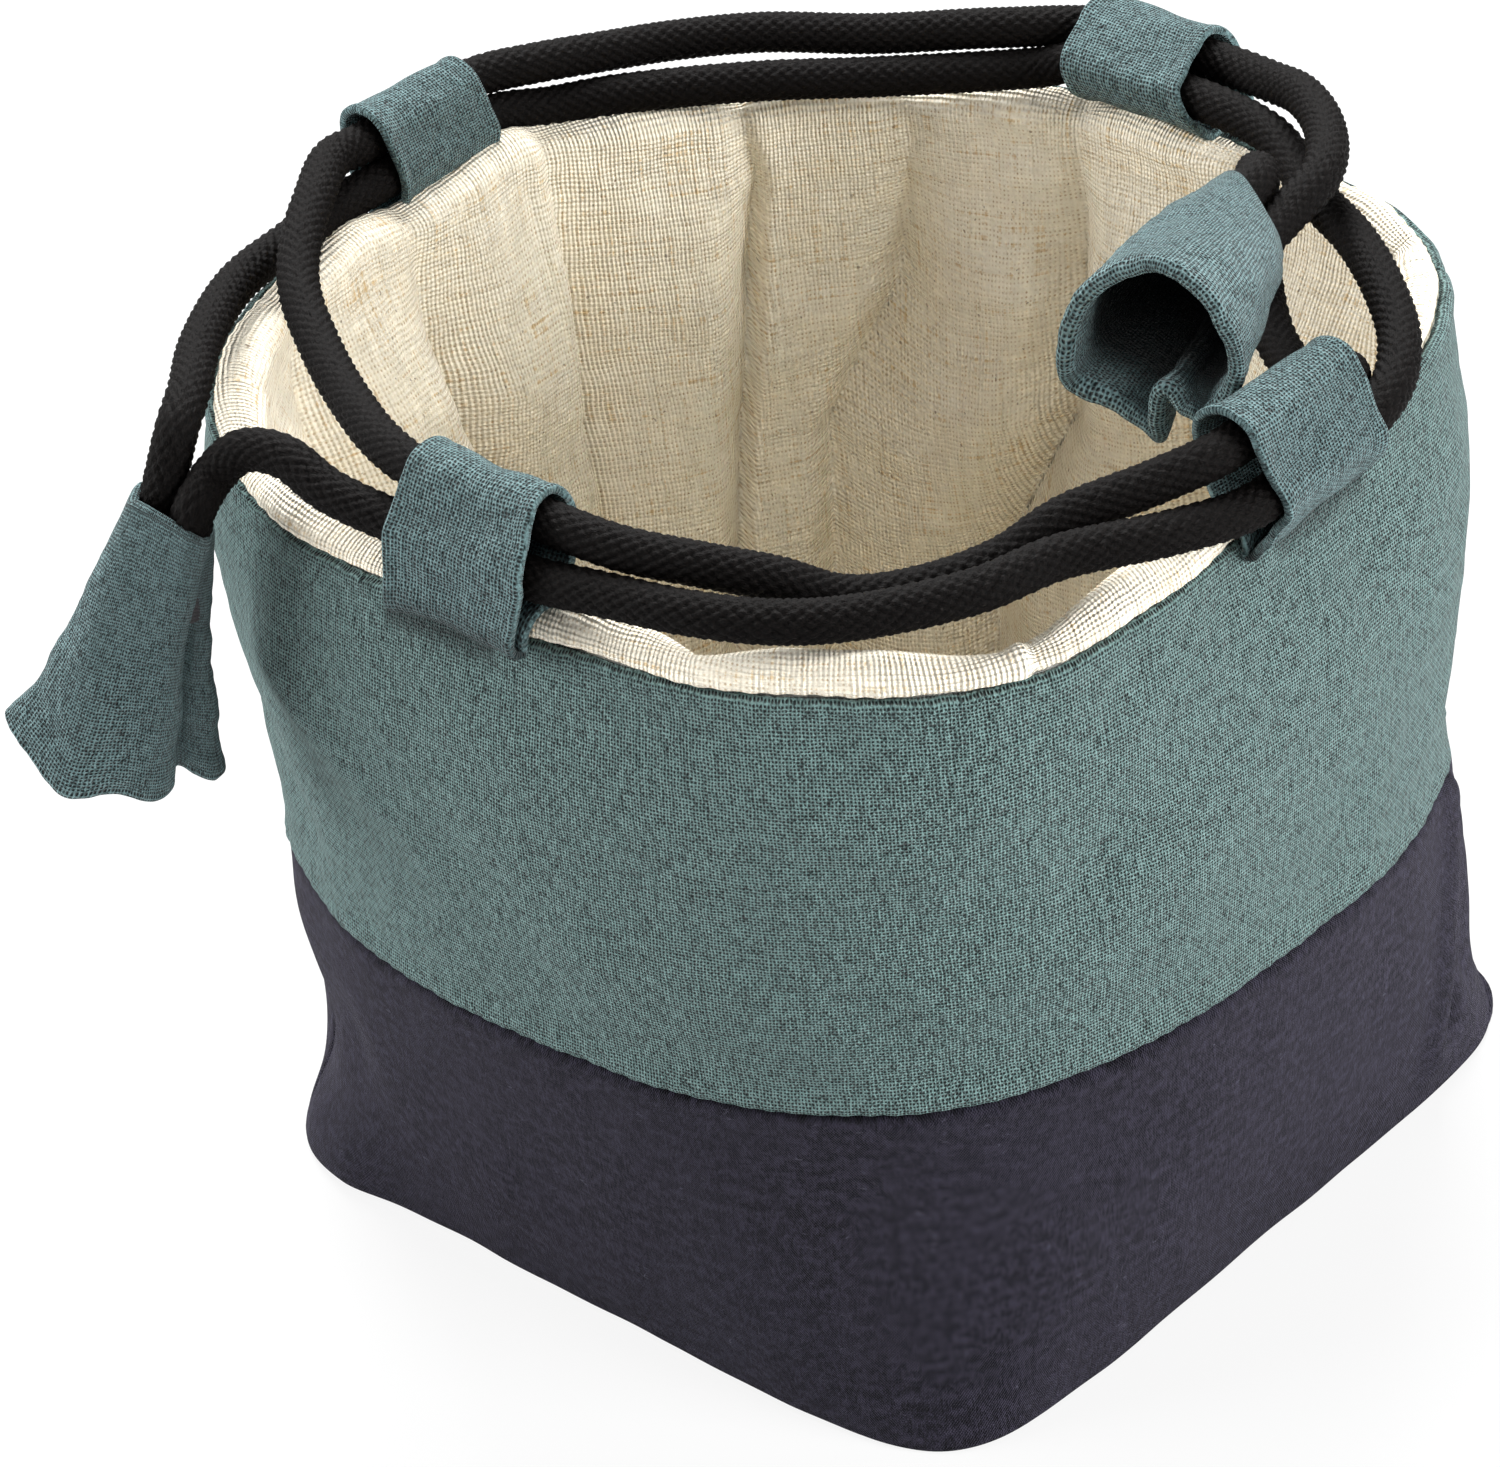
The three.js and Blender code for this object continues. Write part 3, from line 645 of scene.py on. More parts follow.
crepe_crinkles = [(0.00022, 0.0032, 5), (0.0003, 0.008, 6)]
crinkle_stretch = 0.55  # crinkles are longer along the wall than up it
band_roll = 0.0009  # how far the lower edge rolls over the seam below it
band_roll_height = 0.0035
upper_pucker_reach = 0.005
rim_seam_tuck = 0.0014
feet_bearings = [(-99.0, -84.5), (0.5, 14.0), (88.0, 103.0), (168.0, 181.0)]
wall_feet = [
    (math.radians(first) * mean_reach, math.radians(last) * mean_reach)
    for first, last in feet_bearings
]
upper_cloth = teal_finish("teal_crepe_wall", loop_feet=wall_feet)


def upper_form(bearing, up, side, seed):
    """The upper cloth is crinkled all over, turns in at its edges, and rolls over its seam with
    the lower one."""
    run = band_seam_height + (seam_run(bearing) - band_seam_height) * up
    lower_edge = run - band_seam_height
    upper_edge = seam_run(bearing) - run
    pucker = puckers(bearing, seed)
    tuck = seam_tuck(lower_edge, seam_tuck_radius) * (0.9 + 0.2 * pucker)
    tuck += seam_tuck(upper_edge, rim_seam_tuck)
    tuck += 0.5 * seam_tuck(side, seam_tuck_radius)
    roll = band_roll * np.exp(-((lower_edge / band_roll_height) ** 2))
    crumple = pucker_height * pucker * np.exp(-lower_edge / upper_pucker_reach)
    length = np.radians(bearing) * mean_reach
    spots = np.stack([length * crinkle_stretch, run, np.zeros(len(run))], axis=1)
    return run, roll + crumpled(spots, crepe_crinkles, seed) - crumple - tuck


for side, bearings, seed in [("front", front_bearings, 21), ("back", back_bearings, 22)]:
    name = f"upper_cloth_{side}"
    panel = wall_panel(name, bearings, (330, 90), upper_form, seed, upper_cloth, outer_thickness)
    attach(panel, "bag")
    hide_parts(f"upper_outer_{side}")


# Bottom: a square of the navy cloth with rounded corners, on which the bag stands. It is sewn
# to the walls' lower edge, with the wadding and the lining's own square over it.
bottom_rings = 24


def bottom_sheet(name, low, inset, thickness, material, dome=0.0):
    """A round-cornered square between the walls, from rings round its middle."""

    def place(across, up):
        x, y = 2 * across - 1, 2 * up - 1
        ring = np.maximum(np.abs(x), np.abs(y))
        bearing = np.degrees(np.arctan2(y, x))
        points = wall_place(bearing, np.full(len(ring), low), inset) * ring[:, None]
        points[:, 2] = low + dome * (1 - ring**2)
        return points, points[:, :2]

    piece = cloth_object(name, 2 * bottom_rings, 2 * bottom_rings, place, material)
    thickened(piece, thickness, 1)
    return piece


bottom_cloth = bottom_sheet(
    "bottom_cloth", low=0.0, inset=0.0016, thickness=0.0011, material=lower_cloth
)
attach(bottom_cloth, "bag")
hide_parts("outer_base")


# Wadding: a polyester fleece between the outer cloth and the lining, one panel to each half
# of the wall and a square on the bottom. It makes the walls stand.
fleece = Finish("white_fleece")
place = fleece.on_cloth()
fibres = fleece.cloud(fleece.stretched(place, 1.0, 0.2), 0.0008, 4.0, 0.7)
fleece_finish = fleece.surface(
    Base_Color=fleece.mixed(fibres, dyed(226, 224, 218), dyed(246, 245, 240)),
    Roughness=1.0,
    Sheen_Weight=0.4,
    Specular_IOR_Level=0.1,
    Normal=fleece.bumped(fibres, 0.0006),
)
fleece_inset = 0.0022
fleece_thickness = 0.0034
fleece_bottom = 0.0060
fleece_side_tuck = 0.004  # it keeps clear of the outer cloth's side seams


def fleece_form(bearing, up, side, _):
    """The fleece lies behind the outer cloth, and further in at the side seams."""
    run = fleece_bottom + (rim_seam_height - fleece_bottom) * up
    return run, -fleece_inset - 0.7 * seam_tuck(side, fleece_side_tuck)


for side, bearings in [("front", front_bearings), ("back", back_bearings)]:
    panel = wall_panel(
        f"fleece_{side}", bearings, (120, 48), fleece_form, 0, fleece_finish, fleece_thickness
    )
    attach(panel, "bag")
    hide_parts(f"wall_wadding_{side}")
fleece_base = bottom_sheet(
    "fleece_bottom", low=0.0016, inset=0.0070, thickness=0.0036, material=fleece_finish
)
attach(fleece_base, "bag")
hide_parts("base_wadding")


# Lining: open plain-woven linen with slubs. It starts at the rim seam on the outside, rolls
# over the rim as a deep cream band, and hangs inside in soft upright gathers to the bottom.
linen = Finish("slubbed_linen")
place = linen.on_cloth()
warp_way, weft_way = linen.thread_ways(place, pitch=0.00074, wander_sizes=(0.006, 0.005))
warp_thread = warp_way.ridges()
weft_thread = weft_way.ridges()
warp_slub, weft_slub = linen.slubs(place, size=0.0007, shortening=0.035)
thickness = warp_thread * 0.5 + weft_thread * 0.5 + warp_slub * 0.8 + weft_slub * 0.8
gap = 1 - (warp_thread + weft_thread).between(0.10, 0.85)
open_share = linen.cloud(place, 0.0016, 3.0, 0.7).between(0.36, 0.66)
cream = linen.mixed(linen.cloud(place, 0.009, 3.0, 0.6), dyed(247, 236, 212), dyed(254, 249, 234))
tan_share = (warp_slub * 0.5 + weft_slub * 0.5).between(0.545, 0.66)
linen_tone = linen.mixed(tan_share * 0.75, cream, dyed(214, 180, 122))
linen_tone = linen.mixed(gap * open_share * 0.75, linen_tone, dyed(184, 152, 102))
specks = linen.cloud(place, 0.0011, 1.0).between(0.735, 0.76)
linen_tone = linen.mixed(specks * 0.6, linen_tone, dyed(112, 84, 52))
lining_cloth = linen.surface(
    Base_Color=linen_tone,
    Roughness=0.97,
    Sheen_Weight=0.1,
    Specular_IOR_Level=0.2,
    Normal=linen.bumped(thickness, 0.0006),
)

lining_bottom = 0.0066
lining_thickness = 0.0007
lining_seam_tuck = 0.0012
lining_pucker = 0.0005
lining_pucker_reach = 0.003
valley_draw = 0.0014  # how far a valley draws the band in on top of the rim
band_share = 0.35  # the share of the way over the rim that is still a plain band
rim_gathers = 0.18  # the gathers' depth on the rim, as a share of their full one
band_crumples = [(0.0010, 0.014, 0)]
inner_crumples = [(0.0012, 0.016, 3), (0.0005, 0.006, 5)]
gather_depth = 0.0130
gather_fall = 0.032  # the gathers grow to their depth this far below the rim
# The valleys between the gathers in the order round the bag: each has its line of (bearing,
# height) points from the floor up, and how softly the cloth rises from it towards lower and
# towards higher bearings.
gather_valleys = [
    ([(24, 0.007), (20, 0.067), (22, 0.118)], 0.5, 0.5),
    ([(50, 0.007), (48, 0.067), (52, 0.118)], 0.5, 0.5),
    ([(92, 0.007), (82, 0.067), (78, 0.118)], 0.5, 0.5),
    ([(118, 0.007), (116.3, 0.036), (103.6, 0.067), (101, 0.118)], 0.35, 0.45),
    ([(137, 0.007), (134.9, 0.060), (125.8, 0.083), (122.8, 0.109)], 0.45, 0.4),
    ([(150, 0.007), (147.6, 0.039), (143.4, 0.077), (140.7, 0.105), (141.9, 0.115)], 0.12, 0.3),
    ([(160, 0.007), (166.7, 0.0595), (166.6, 0.077), (165.2, 0.098), (166.8, 0.120)], 0.8, 0.14),
    ([(182, 0.007), (180.7, 0.061), (186.1, 0.089), (187.6, 0.118)], 0.6, 0.3),
    ([(210, 0.007), (214, 0.067), (208, 0.118)], 0.5, 0.4),
    ([(236, 0.007), (232, 0.067), (232, 0.118)], 0.5, 0.5),
    ([(266, 0.007), (272, 0.067), (268, 0.118)], 0.5, 0.5),
    ([(300, 0.007), (294, 0.067), (298, 0.118)], 0.5, 0.5),
    ([(316, 0.007), (320, 0.067), (326, 0.118)], 0.5, 0.5),
    ([(352, 0.007), (356, 0.067), (354, 0.118)], 0.5, 0.5),
]


def valley_bearing(valley, height):
    """The bearing of a valley at each height."""
    bearings, heights = zip(*valley[0])
    return np.interp(height, heights, bearings)


def rises_over(share, softness):
    """A rise from 0 to 1, steep at first and level from the softness on."""
    return 1 - (1 - np.clip(share / softness, 0, 1)) ** 2


def gathers(bearing, height):
    """From 0 in a valley between two gathers to about 1 on the crown of one."""
    crown = np.zeros(len(bearing))
    for valley, following in zip(gather_valleys, gather_valleys[1:] + gather_valleys[:1]):
        start = valley_bearing(valley, height)
        width = (valley_bearing(following, height) - start) % 360
        share = ((bearing - start) % 360) / width
        rounded = rises_over(share, valley[2]) * rises_over(1 - share, following[1])
        crown = np.where(share < 1, rounded * np.clip(width / 26, 0.5, 1.15), crown)
    return crown


# A tuck in the lining where it comes over the front of the rim
tuck_bearing = -32.0
tuck_height = 0.0016
tuck_step = 0.0022  # how wide the step is
tuck_reach_before = 0.008
tuck_reach_behind = 0.005


def rim_tuck(bearing):
    """How far the lining stands out beside the tuck, which ends in a sharp step."""
    past = np.radians((bearing - tuck_bearing + 180) % 360 - 180) * mean_reach
    before = tuck_height * np.exp(-np.abs(past) / tuck_reach_before)
    behind = -0.8 * tuck_height * np.exp(-np.abs(past) / tuck_reach_behind)
    return before + (behind - before) * eased(past / tuck_step + 0.5)


def lining_form(bearing, up, _, seed):
    """The lining rolls over the rim, and hangs inside it in gathers."""
    seam = seam_run(bearing)
    end = 2 * rim_arc_centre + math.pi * rim_arc_radius - lining_bottom
    run = seam + (end - seam) * up
    over = (run - rim_arc_centre) / (math.pi * rim_arc_radius)
    below = np.clip(over - 1, 0, None) * math.pi * rim_arc_radius
    height = np.minimum(rim_arc_centre - below, rim_seam_height)
    inside = np.clip((over - band_share) / (1 - band_share), 0, 1)
    deep = rim_gathers + (1 - rim_gathers) * eased(below / gather_fall)
    rounded = gathers(bearing, height)
    from_seam = run - seam
    plain = wall_place(bearing, height, 0.0) - outward(bearing) * (over * wall_thickness)[:, None]
    stand = gather_depth * rounded * deep * inside
    stand += crumpled(plain, band_crumples, seed) * (1 - inside)
    stand += crumpled(plain, inner_crumples, seed) * inside
    stand += rim_tuck(bearing) * (1 - inside) * np.clip(from_seam / 0.0015, 0.2, 1)
    stand -= valley_draw * (1 - rounded) * np.exp(-(((over - 0.7) / 0.3) ** 2))
    stand -= lining_pucker * puckers(bearing, seed) * np.exp(-from_seam / lining_pucker_reach)
    stand -= seam_tuck(from_seam, lining_seam_tuck)
    return run, stand


for side, bearings, seed in [("front", front_bearings, 31), ("back", back_bearings, 32)]:
    panel = wall_panel(
        f"linen_{side}", bearings, (370, 126), lining_form, seed, lining_cloth, lining_thickness
    )
    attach(panel, "bag")
    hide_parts(f"lining_{side}")
linen_bottom = bottom_sheet(
    "linen_bottom",
    low=0.0060,
    inset=wall_thickness,
    thickness=0.0008,
    material=lining_cloth,
    dome=0.002,
)
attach(linen_bottom, "bag")
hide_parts("lining_base")


# Loops: a doubled strip of the teal cloth each, folded over both cords, its ends caught in the
# rim seam. Every loop has its place along the rim, and the places of the lower and the upper
# cord in it: how far out from the wall's outer face, and how high above the rim seam. Its two
# side edges, towards lower and higher coordinates, have each a foot (how far out from the seam,
# and how high), an extra slack over the upper cord, and their places along the rim at the foot,
# half way up and at the top.
cord_diameter = 0.006
loop_width = 0.021
strap_thickness = 0.0014
loop_slack = 0.0003
foot_radius = 0.0024
loops = {
    "front_left": dict(
        bearing=-90,
        along=-0.004,
        lower=(-0.0035, 0.010),
        upper=(-0.008, 0.0165),
        low_edge=dict(foot=(0.0022, 0.0026), slack=0.0, places=(-0.0145, -0.0148, -0.0143)),
        high_edge=dict(foot=(0.0012, 0.0020), slack=0.0, places=(0.0086, 0.0108, 0.0086)),
    ),
    "front_right": dict(
        bearing=0,
        along=0.007,
        lower=(0.0025, 0.0102),
        upper=(-0.002, 0.0173),
        low_edge=dict(foot=(0.0008, 0.0010), slack=0.0012, places=(-0.0010, -0.0030, -0.0036)),
        high_edge=dict(foot=(0.0042, 0.0056), slack=0.0004, places=(0.0180, 0.0196, 0.0203)),
    ),
    "back_right": dict(
        bearing=90,
        along=-0.0085,
        lower=(-0.0062, 0.0103),
        upper=(0.0006, 0.013),
        low_edge=dict(foot=(0.0012, 0.0020), slack=0.0006, places=(-0.0195, -0.0205, -0.0228)),
        high_edge=dict(foot=(0.0012, 0.0028), slack=0.0002, places=(0.0050, 0.0030, -0.0012)),
    ),
    "back_left": dict(
        bearing=180,
        along=0.009,
        lower=(0, 0.0094),
        upper=(0.0026, 0.0151),
        low_edge=dict(foot=(0.0020, 0.0), slack=0.0008, places=(-0.0015, -0.0028, -0.0032)),
        high_edge=dict(foot=(0.0016, 0.0050), slack=0.0, places=(0.0150, 0.0182, 0.0176)),
    ),
}


def loop_ways(bearing):
    """A loop's own directions: out from its wall, and along the rim towards +X or +Y."""
    out = Vector((round(math.cos(math.radians(bearing))), round(math.sin(math.radians(bearing))), 0))
    return out, Vector((abs(out.y), abs(out.x), 0))


def cord_place(loop, level):
    """Where a loop holds a cord: how far out from the bag's middle, and how high."""
    out, _ = loop_ways(loop["bearing"])
    seam = wall_place(np.array([float(loop["bearing"])]), np.array([rim_seam_height]), 0.0)[0]
    outward_part, upward = loop[level]
    return Vector(seam).dot(out) + outward_part, rim_seam_height + upward


def hull_round(circles, points_each=40):
    """The outline of a belt pulled tight round circles (x, y, radius), anticlockwise."""
    points = sorted(
        (x + radius * math.cos(turn), y + radius * math.sin(turn))
        for x, y, radius in circles
        for turn in np.linspace(0, 2 * math.pi, points_each, endpoint=False)
    )

    def chain(ordered):
        kept = []
        for point in ordered:
            while len(kept) > 1:
                (ax, ay), (bx, by) = kept[-2:]
                if (bx - ax) * (point[1] - ay) - (by - ay) * (point[0] - ax) > 0:
                    break
                kept.pop()
            kept.append(point)
        return kept[:-1]

    return chain(points) + chain(points[::-1])


def evenly(points, count, closed=False):
    """The same line with evenly spaced points."""
    line = np.array(points + [points[0]] if closed else points, float)
    steps = np.linalg.norm(np.diff(line, axis=0), axis=1)
    lengths = np.concatenate([[0], np.cumsum(steps)])
    wanted = np.linspace(0, lengths[-1], count, endpoint=not closed)
    return np.stack([np.interp(wanted, lengths, column) for column in line.T], axis=1), lengths[-1]


strap_steps = 112  # faces round a loop
strap_rows = 30  # faces across it
strap_crinkles = [(0.0006, 0.007, 1)]
strap_fine_crinkles = [(0.0004, 0.0032, 0)]
strap_roll = 0.0004  # how far its side edges stand out
strap_hollow = 0.0002  # how far its middle lies in
strap_clearance = 0.0006  # from the rim
strap_wander = [(0.0007, 0.010, 2)]  # how its place along the rim varies


def strap_line(loop, edge):
    """The line that a loop's strap takes round the cords at one of its side edges, and the
    middle of the rim's half circle there."""
    out, _ = loop_ways(loop["bearing"])
    radius = cord_diameter / 2 + loop_slack + strap_thickness / 2
    rim = wall_surface(np.array([float(loop["bearing"])]), np.array([rim_seam_height]))[0]
    seam_out = Vector(rim).dot(out)
    foot_out, foot_up = edge["foot"]
    foot = (seam_out + foot_out, rim_seam_height + foot_up, foot_radius)
    lower = (*cord_place(loop, "lower"), radius)
    upper = (*cord_place(loop, "upper"), radius + edge["slack"])
    outline = hull_round([lower, upper, foot])
    start = min(range(len(outline)), key=lambda i: outline[i][1])
    outline = outline[start:] + outline[:start]
    line, length = evenly(outline, strap_steps, closed=True)
    return line, length, (seam_out - rim_arc_radius, rim_arc_centre)


def loop_piece(name, loop, seed):
    """A strap folded round the cords, and its cloth's length."""
    out, along = loop_ways(loop["bearing"])
    low_line, length, rim_centre = strap_line(loop, loop["low_edge"])
    high_line, _, _ = strap_line(loop, loop["high_edge"])

    def place(around, across):
        step = np.round(around * strap_steps).astype(int) % strap_steps
        base = low_line[step] + (high_line - low_line)[step] * across[:, None]
        centre = (low_line.mean(axis=0) + high_line.mean(axis=0)) / 2
        away = base - centre
        away /= np.linalg.norm(away, axis=1)[:, None]
        side = 2 * across - 1
        edge = np.abs(side)
        spots = np.stack([base[:, 0], base[:, 1], side * 0.01], axis=1)
        crinkle = crumpled(spots * (1, 1, 0.3), strap_fine_crinkles, seed)
        crinkle += crumpled(spots, strap_crinkles, seed)
        roll = strap_roll * np.exp(-(((edge - 0.95) / 0.09) ** 2)) - strap_hollow * (1 - edge**2)
        base = base + away * (crinkle + roll)[:, None]
        rise = (base[:, 1] - rim_seam_height) / (high_line[:, 1].max() - rim_seam_height)
        low = np.interp(rise, (0, 0.5, 1), loop["low_edge"]["places"])
        high = np.interp(rise, (0, 0.5, 1), loop["high_edge"]["places"])
        shift = crumpled(spots, strap_wander, seed)
        off = base - np.array(rim_centre)
        gap = np.linalg.norm(off, axis=1)
        clear = rim_arc_radius + strap_thickness / 2 + strap_clearance
        inside = (gap < clear) & (base[:, 1] > rim_centre[1] - 0.002)
        base[inside] = (np.array(rim_centre) + off / gap[:, None] * clear)[inside]
        width_place = low + (high - low) * across + shift
        points = (
            np.outer(base[:, 0], out) + np.outer(width_place, along) + np.outer(base[:, 1], (0, 0, 1))
        )
        flat = np.stack([side * loop_width / 2, around * length], axis=1)
        return points, flat

    piece = cloth_object(name, strap_steps, strap_rows, place, loop_cloth, merge=1e-6)
    thickened(piece, strap_thickness, 0)
    rounded = piece.modifiers.new("rolled edges", "SUBSURF")
    rounded.levels = 1
    rounded.render_levels = 1
    return piece, length


# The loops are the wall's teal cloth; their darker threads here are painted shade.
loop_cloth = teal_finish("teal_crepe_loops", thread=(100, 126, 128), strap_width=loop_width)
for number, (side, loop) in enumerate(loops.items()):
    strap, strap_length = loop_piece(f"loop_{side}", loop, 40 + 5 * number)
    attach(strap, "bag")
    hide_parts(f"cord_loop_{side}")


# Cord ends: a cloth bell covers the two ends of each cord. Each has its neck's place, the way
# that the bell points, the way in which the two ends lie side by side, and how far each cord end
# lies from the bell's axis, to the side and across.
cord_ends = {
    "left": dict(
        neck=Vector((-0.0505, -0.0816, 0.1205)),
        axis=Vector((-0.177, -0.313, -0.933)).normalized(),
        side=Vector((0.723, 0.602, -0.339)),
        strands={-1: (-0.0026, -0.0014), 1: (0.0022, 0.0023)},
    ),
    "right": dict(
        neck=Vector((0.0444, 0.0415, 0.138)),
        axis=Vector((0.235, -0.972, 0.026)).normalized(),
        side=Vector((0.761, 0.167, -0.627)),
        strands={-1: (-0.0043, -0.0010), 1: (0.0021, -0.0016)},
    ),
}
cord_in_bell = 0.008  # how far the cord's ends reach in from the neck
beyond_loop = 0.0015  # a cord stays straight this far beyond a loop on each side


def bell_ways(end):
    """A bell's own directions: along its axis, to the side, and across."""
    axis = end["axis"]
    sideways = (end["side"] - axis * end["side"].dot(axis)).normalized()
    return axis, sideways, axis.cross(sideways)


def in_bell(end, along, side, across):
    """A point of a bell: so far along its axis from the neck, to the side, and across."""
    axis, sideways, crossways = bell_ways(end)
    return end["neck"] + axis * along + sideways * side + crossways * across


# Cords: round black braid, 6 mm thick. Both run once round the mouth, loose in all four loops,
# and both ends of each go side by side into its bell.
def through_loop(side, level):
    """A cord's straight run through a loop, from the lower to the higher coordinate."""
    loop = loops[side]
    out, along = loop_ways(loop["bearing"])
    distance, height = cord_place(loop, level)
    reach = loop_width / 2 + beyond_loop
    return [
        out * distance + along * (loop["along"] + offset) + Vector((0, 0, height))
        for offset in (-reach, 0, reach)
    ]


def out_of_bell(name, sign, straight):
    """A cord's straight run out of a bell, from its end outwards."""
    end = cord_ends[name]
    return [in_bell(end, along, *end["strands"][sign]) for along in (cord_in_bell, 0, -straight)]


def at(x, y, z):
    """A point from its millimetres."""
    return Vector((x, y, z)) / 1000


left_route = [
    *out_of_bell("left", -1, 0.005),
    at(-53.3, -76.8, 130.9),
    at(-57.6, -70, 132.4),
    at(-66.5, -59.4, 131.6),
    at(-78.6, -40.5, 128.9),
    at(-83.4, -25.7, 126.9),
    at(-86.2, -14.5, 125.9),
    *through_loop("back_left", "lower"),
    at(-83, 29.2, 124.2),
    at(-76.2, 36.9, 124.7),
    at(-59.8, 50.5, 125.5),
    at(-47.3, 61, 125),
    at(-35.5, 71.2, 124.6),
    at(-27, 78.4, 124.6),
    *through_loop("back_right", "lower"),
    at(18.1, 77.4, 126.5),
    at(32.6, 68.1, 125.6),
    at(47, 59, 127),
    at(60, 48.5, 128),
    at(70, 38.5, 128),
    at(76, 28.5, 127.5),
    *reversed(through_loop("front_right", "lower")),
    at(74, -17, 127.5),
    at(66, -30.5, 128),
    at(61.5, -42.5, 127.5),
    at(51.5, -56, 127),
    at(43.5, -62.5, 127),
    at(33, -67, 127),
    at(20, -69.5, 126.5),
    *reversed(through_loop("front_left", "lower")),
    at(-28, -72.8, 127.8),
    at(-36.5, -72.8, 130.4),
    at(-43, -74.3, 129.8),
    at(-46.4, -76.8, 126.4),
    *reversed(out_of_bell("left", 1, 0.003)),
]
right_route = [
    *out_of_bell("right", 1, 0.006),
    at(41.6, 58.6, 136),
    at(32.9, 71, 134.8),
    at(21.8, 80.1, 133.1),
    at(12.3, 85, 130.4),
    *reversed(through_loop("back_right", "upper")),
    at(-33.8, 77.3, 129.9),
    at(-49.4, 66.4, 129.4),
    at(-63.5, 57, 129.9),
    at(-73.4, 48.3, 129.7),
    at(-80.3, 39.1, 129.9),
    at(-85.5, 29.7, 130.7),
    *reversed(through_loop("back_left", "upper")),
    at(-88, -11, 132.6),
    at(-81, -21.5, 133.5),
    at(-73.4, -32.1, 133),
    at(-65.5, -40.5, 132),
    at(-51.5, -50, 131),
    at(-38, -58, 131.5),
    at(-25, -64.5, 132.3),
    *through_loop("front_left", "upper"),
    at(19.5, -65.1, 131.3),
    at(30.6, -61, 130.4),
    at(39.2, -56.2, 128.7),
    at(45.7, -51.1, 125.5),
    at(51.3, -43.5, 124.5),
    at(57.8, -33.3, 126),
    at(62, -24.6, 129.5),
    at(69, -14, 132),
    *through_loop("front_right", "upper"),
    at(71, 25.2, 129.9),
    at(67.1, 30.1, 124.7),
    at(61.5, 33.6, 120.6),
    at(55.5, 36.8, 117.5),
    at(49, 41, 115.8),
    at(41, 46.8, 116.2),
    at(34.4, 53, 119.6),
    at(31.8, 56.2, 127.6),
    at(34, 53.8, 136),
    *reversed(out_of_bell("right", -1, 0.006)),
]

cord_round = 66  # faces round a cord
cord_ring = 0.0004  # one ring of its mesh to the next
braid_strands = 12  # strands that wind each way round
braid_rise = 0.026  # how far one strand climbs in a full turn
grain_height = 0.0006
braid_stand = 0.0002  # how far the strands' crowns stand out from the cord's plain thickness
end_rounding = 0.002


def smooth_route(route, spacing):
    """A centripetal curve through the route's points, with evenly spaced points on it."""
    points = [2 * route[0] - route[1], *route, 2 * route[-1] - route[-2]]
    fine = []
    for before, start, end, after in zip(points, points[1:], points[2:], points[3:]):
        gaps = [math.sqrt((b - a).length) for a, b in ((before, start), (start, end), (end, after))]
        first = (start - before) / gaps[0] - (end - before) / (gaps[0] + gaps[1])
        first = (first + (end - start) / gaps[1]) * gaps[1]
        last = (end - start) / gaps[1] - (after - start) / (gaps[1] + gaps[2])
        last = (last + (after - end) / gaps[2]) * gaps[1]
        for t in np.linspace(0, 1, 24, endpoint=False):
            fine.append(
                start * (1 + 2 * t) * (1 - t) ** 2
                + end * t * t * (3 - 2 * t)
                + first * t * (1 - t) ** 2
                + last * t * t * (t - 1)
            )
    fine.append(points[-2])
    length = sum((b - a).length for a, b in zip(fine, fine[1:]))
    return evenly([tuple(point) for point in fine], round(length / spacing) + 1)


def braid_height(around, along):
    """How high the braid stands, from 0 to 1: two families of strands cross, over and under."""
    rise = along / braid_rise
    right_way = (around + rise) * braid_strands
    left_way = (around - rise) * braid_strands
    right_ridge = np.sin(math.pi * (right_way % 1)) ** 0.7
    left_ridge = np.sin(math.pi * (left_way % 1)) ** 0.7
    over = (np.floor(right_way) + np.floor(left_way)) % 2 < 1
    top = np.where(over, right_ridge, left_ridge)
    bulge = np.where(over, left_ridge, right_ridge)
    return top * (0.45 + 0.55 * bulge)


def square_to(path):
    """Two directions square to a path at each of its points, which turn as little as they can."""
    tangents = np.gradient(path, axis=0)
    tangents /= np.linalg.norm(tangents, axis=1)[:, None]
    normals = np.empty_like(path)
    normal = np.cross(tangents[0], (0, 0, 1))
    for i, tangent in enumerate(tangents):
        normal = normal - tangent * normal.dot(tangent)
        normal /= np.linalg.norm(normal)
        normals[i] = normal
    return normals, np.cross(tangents, normals)


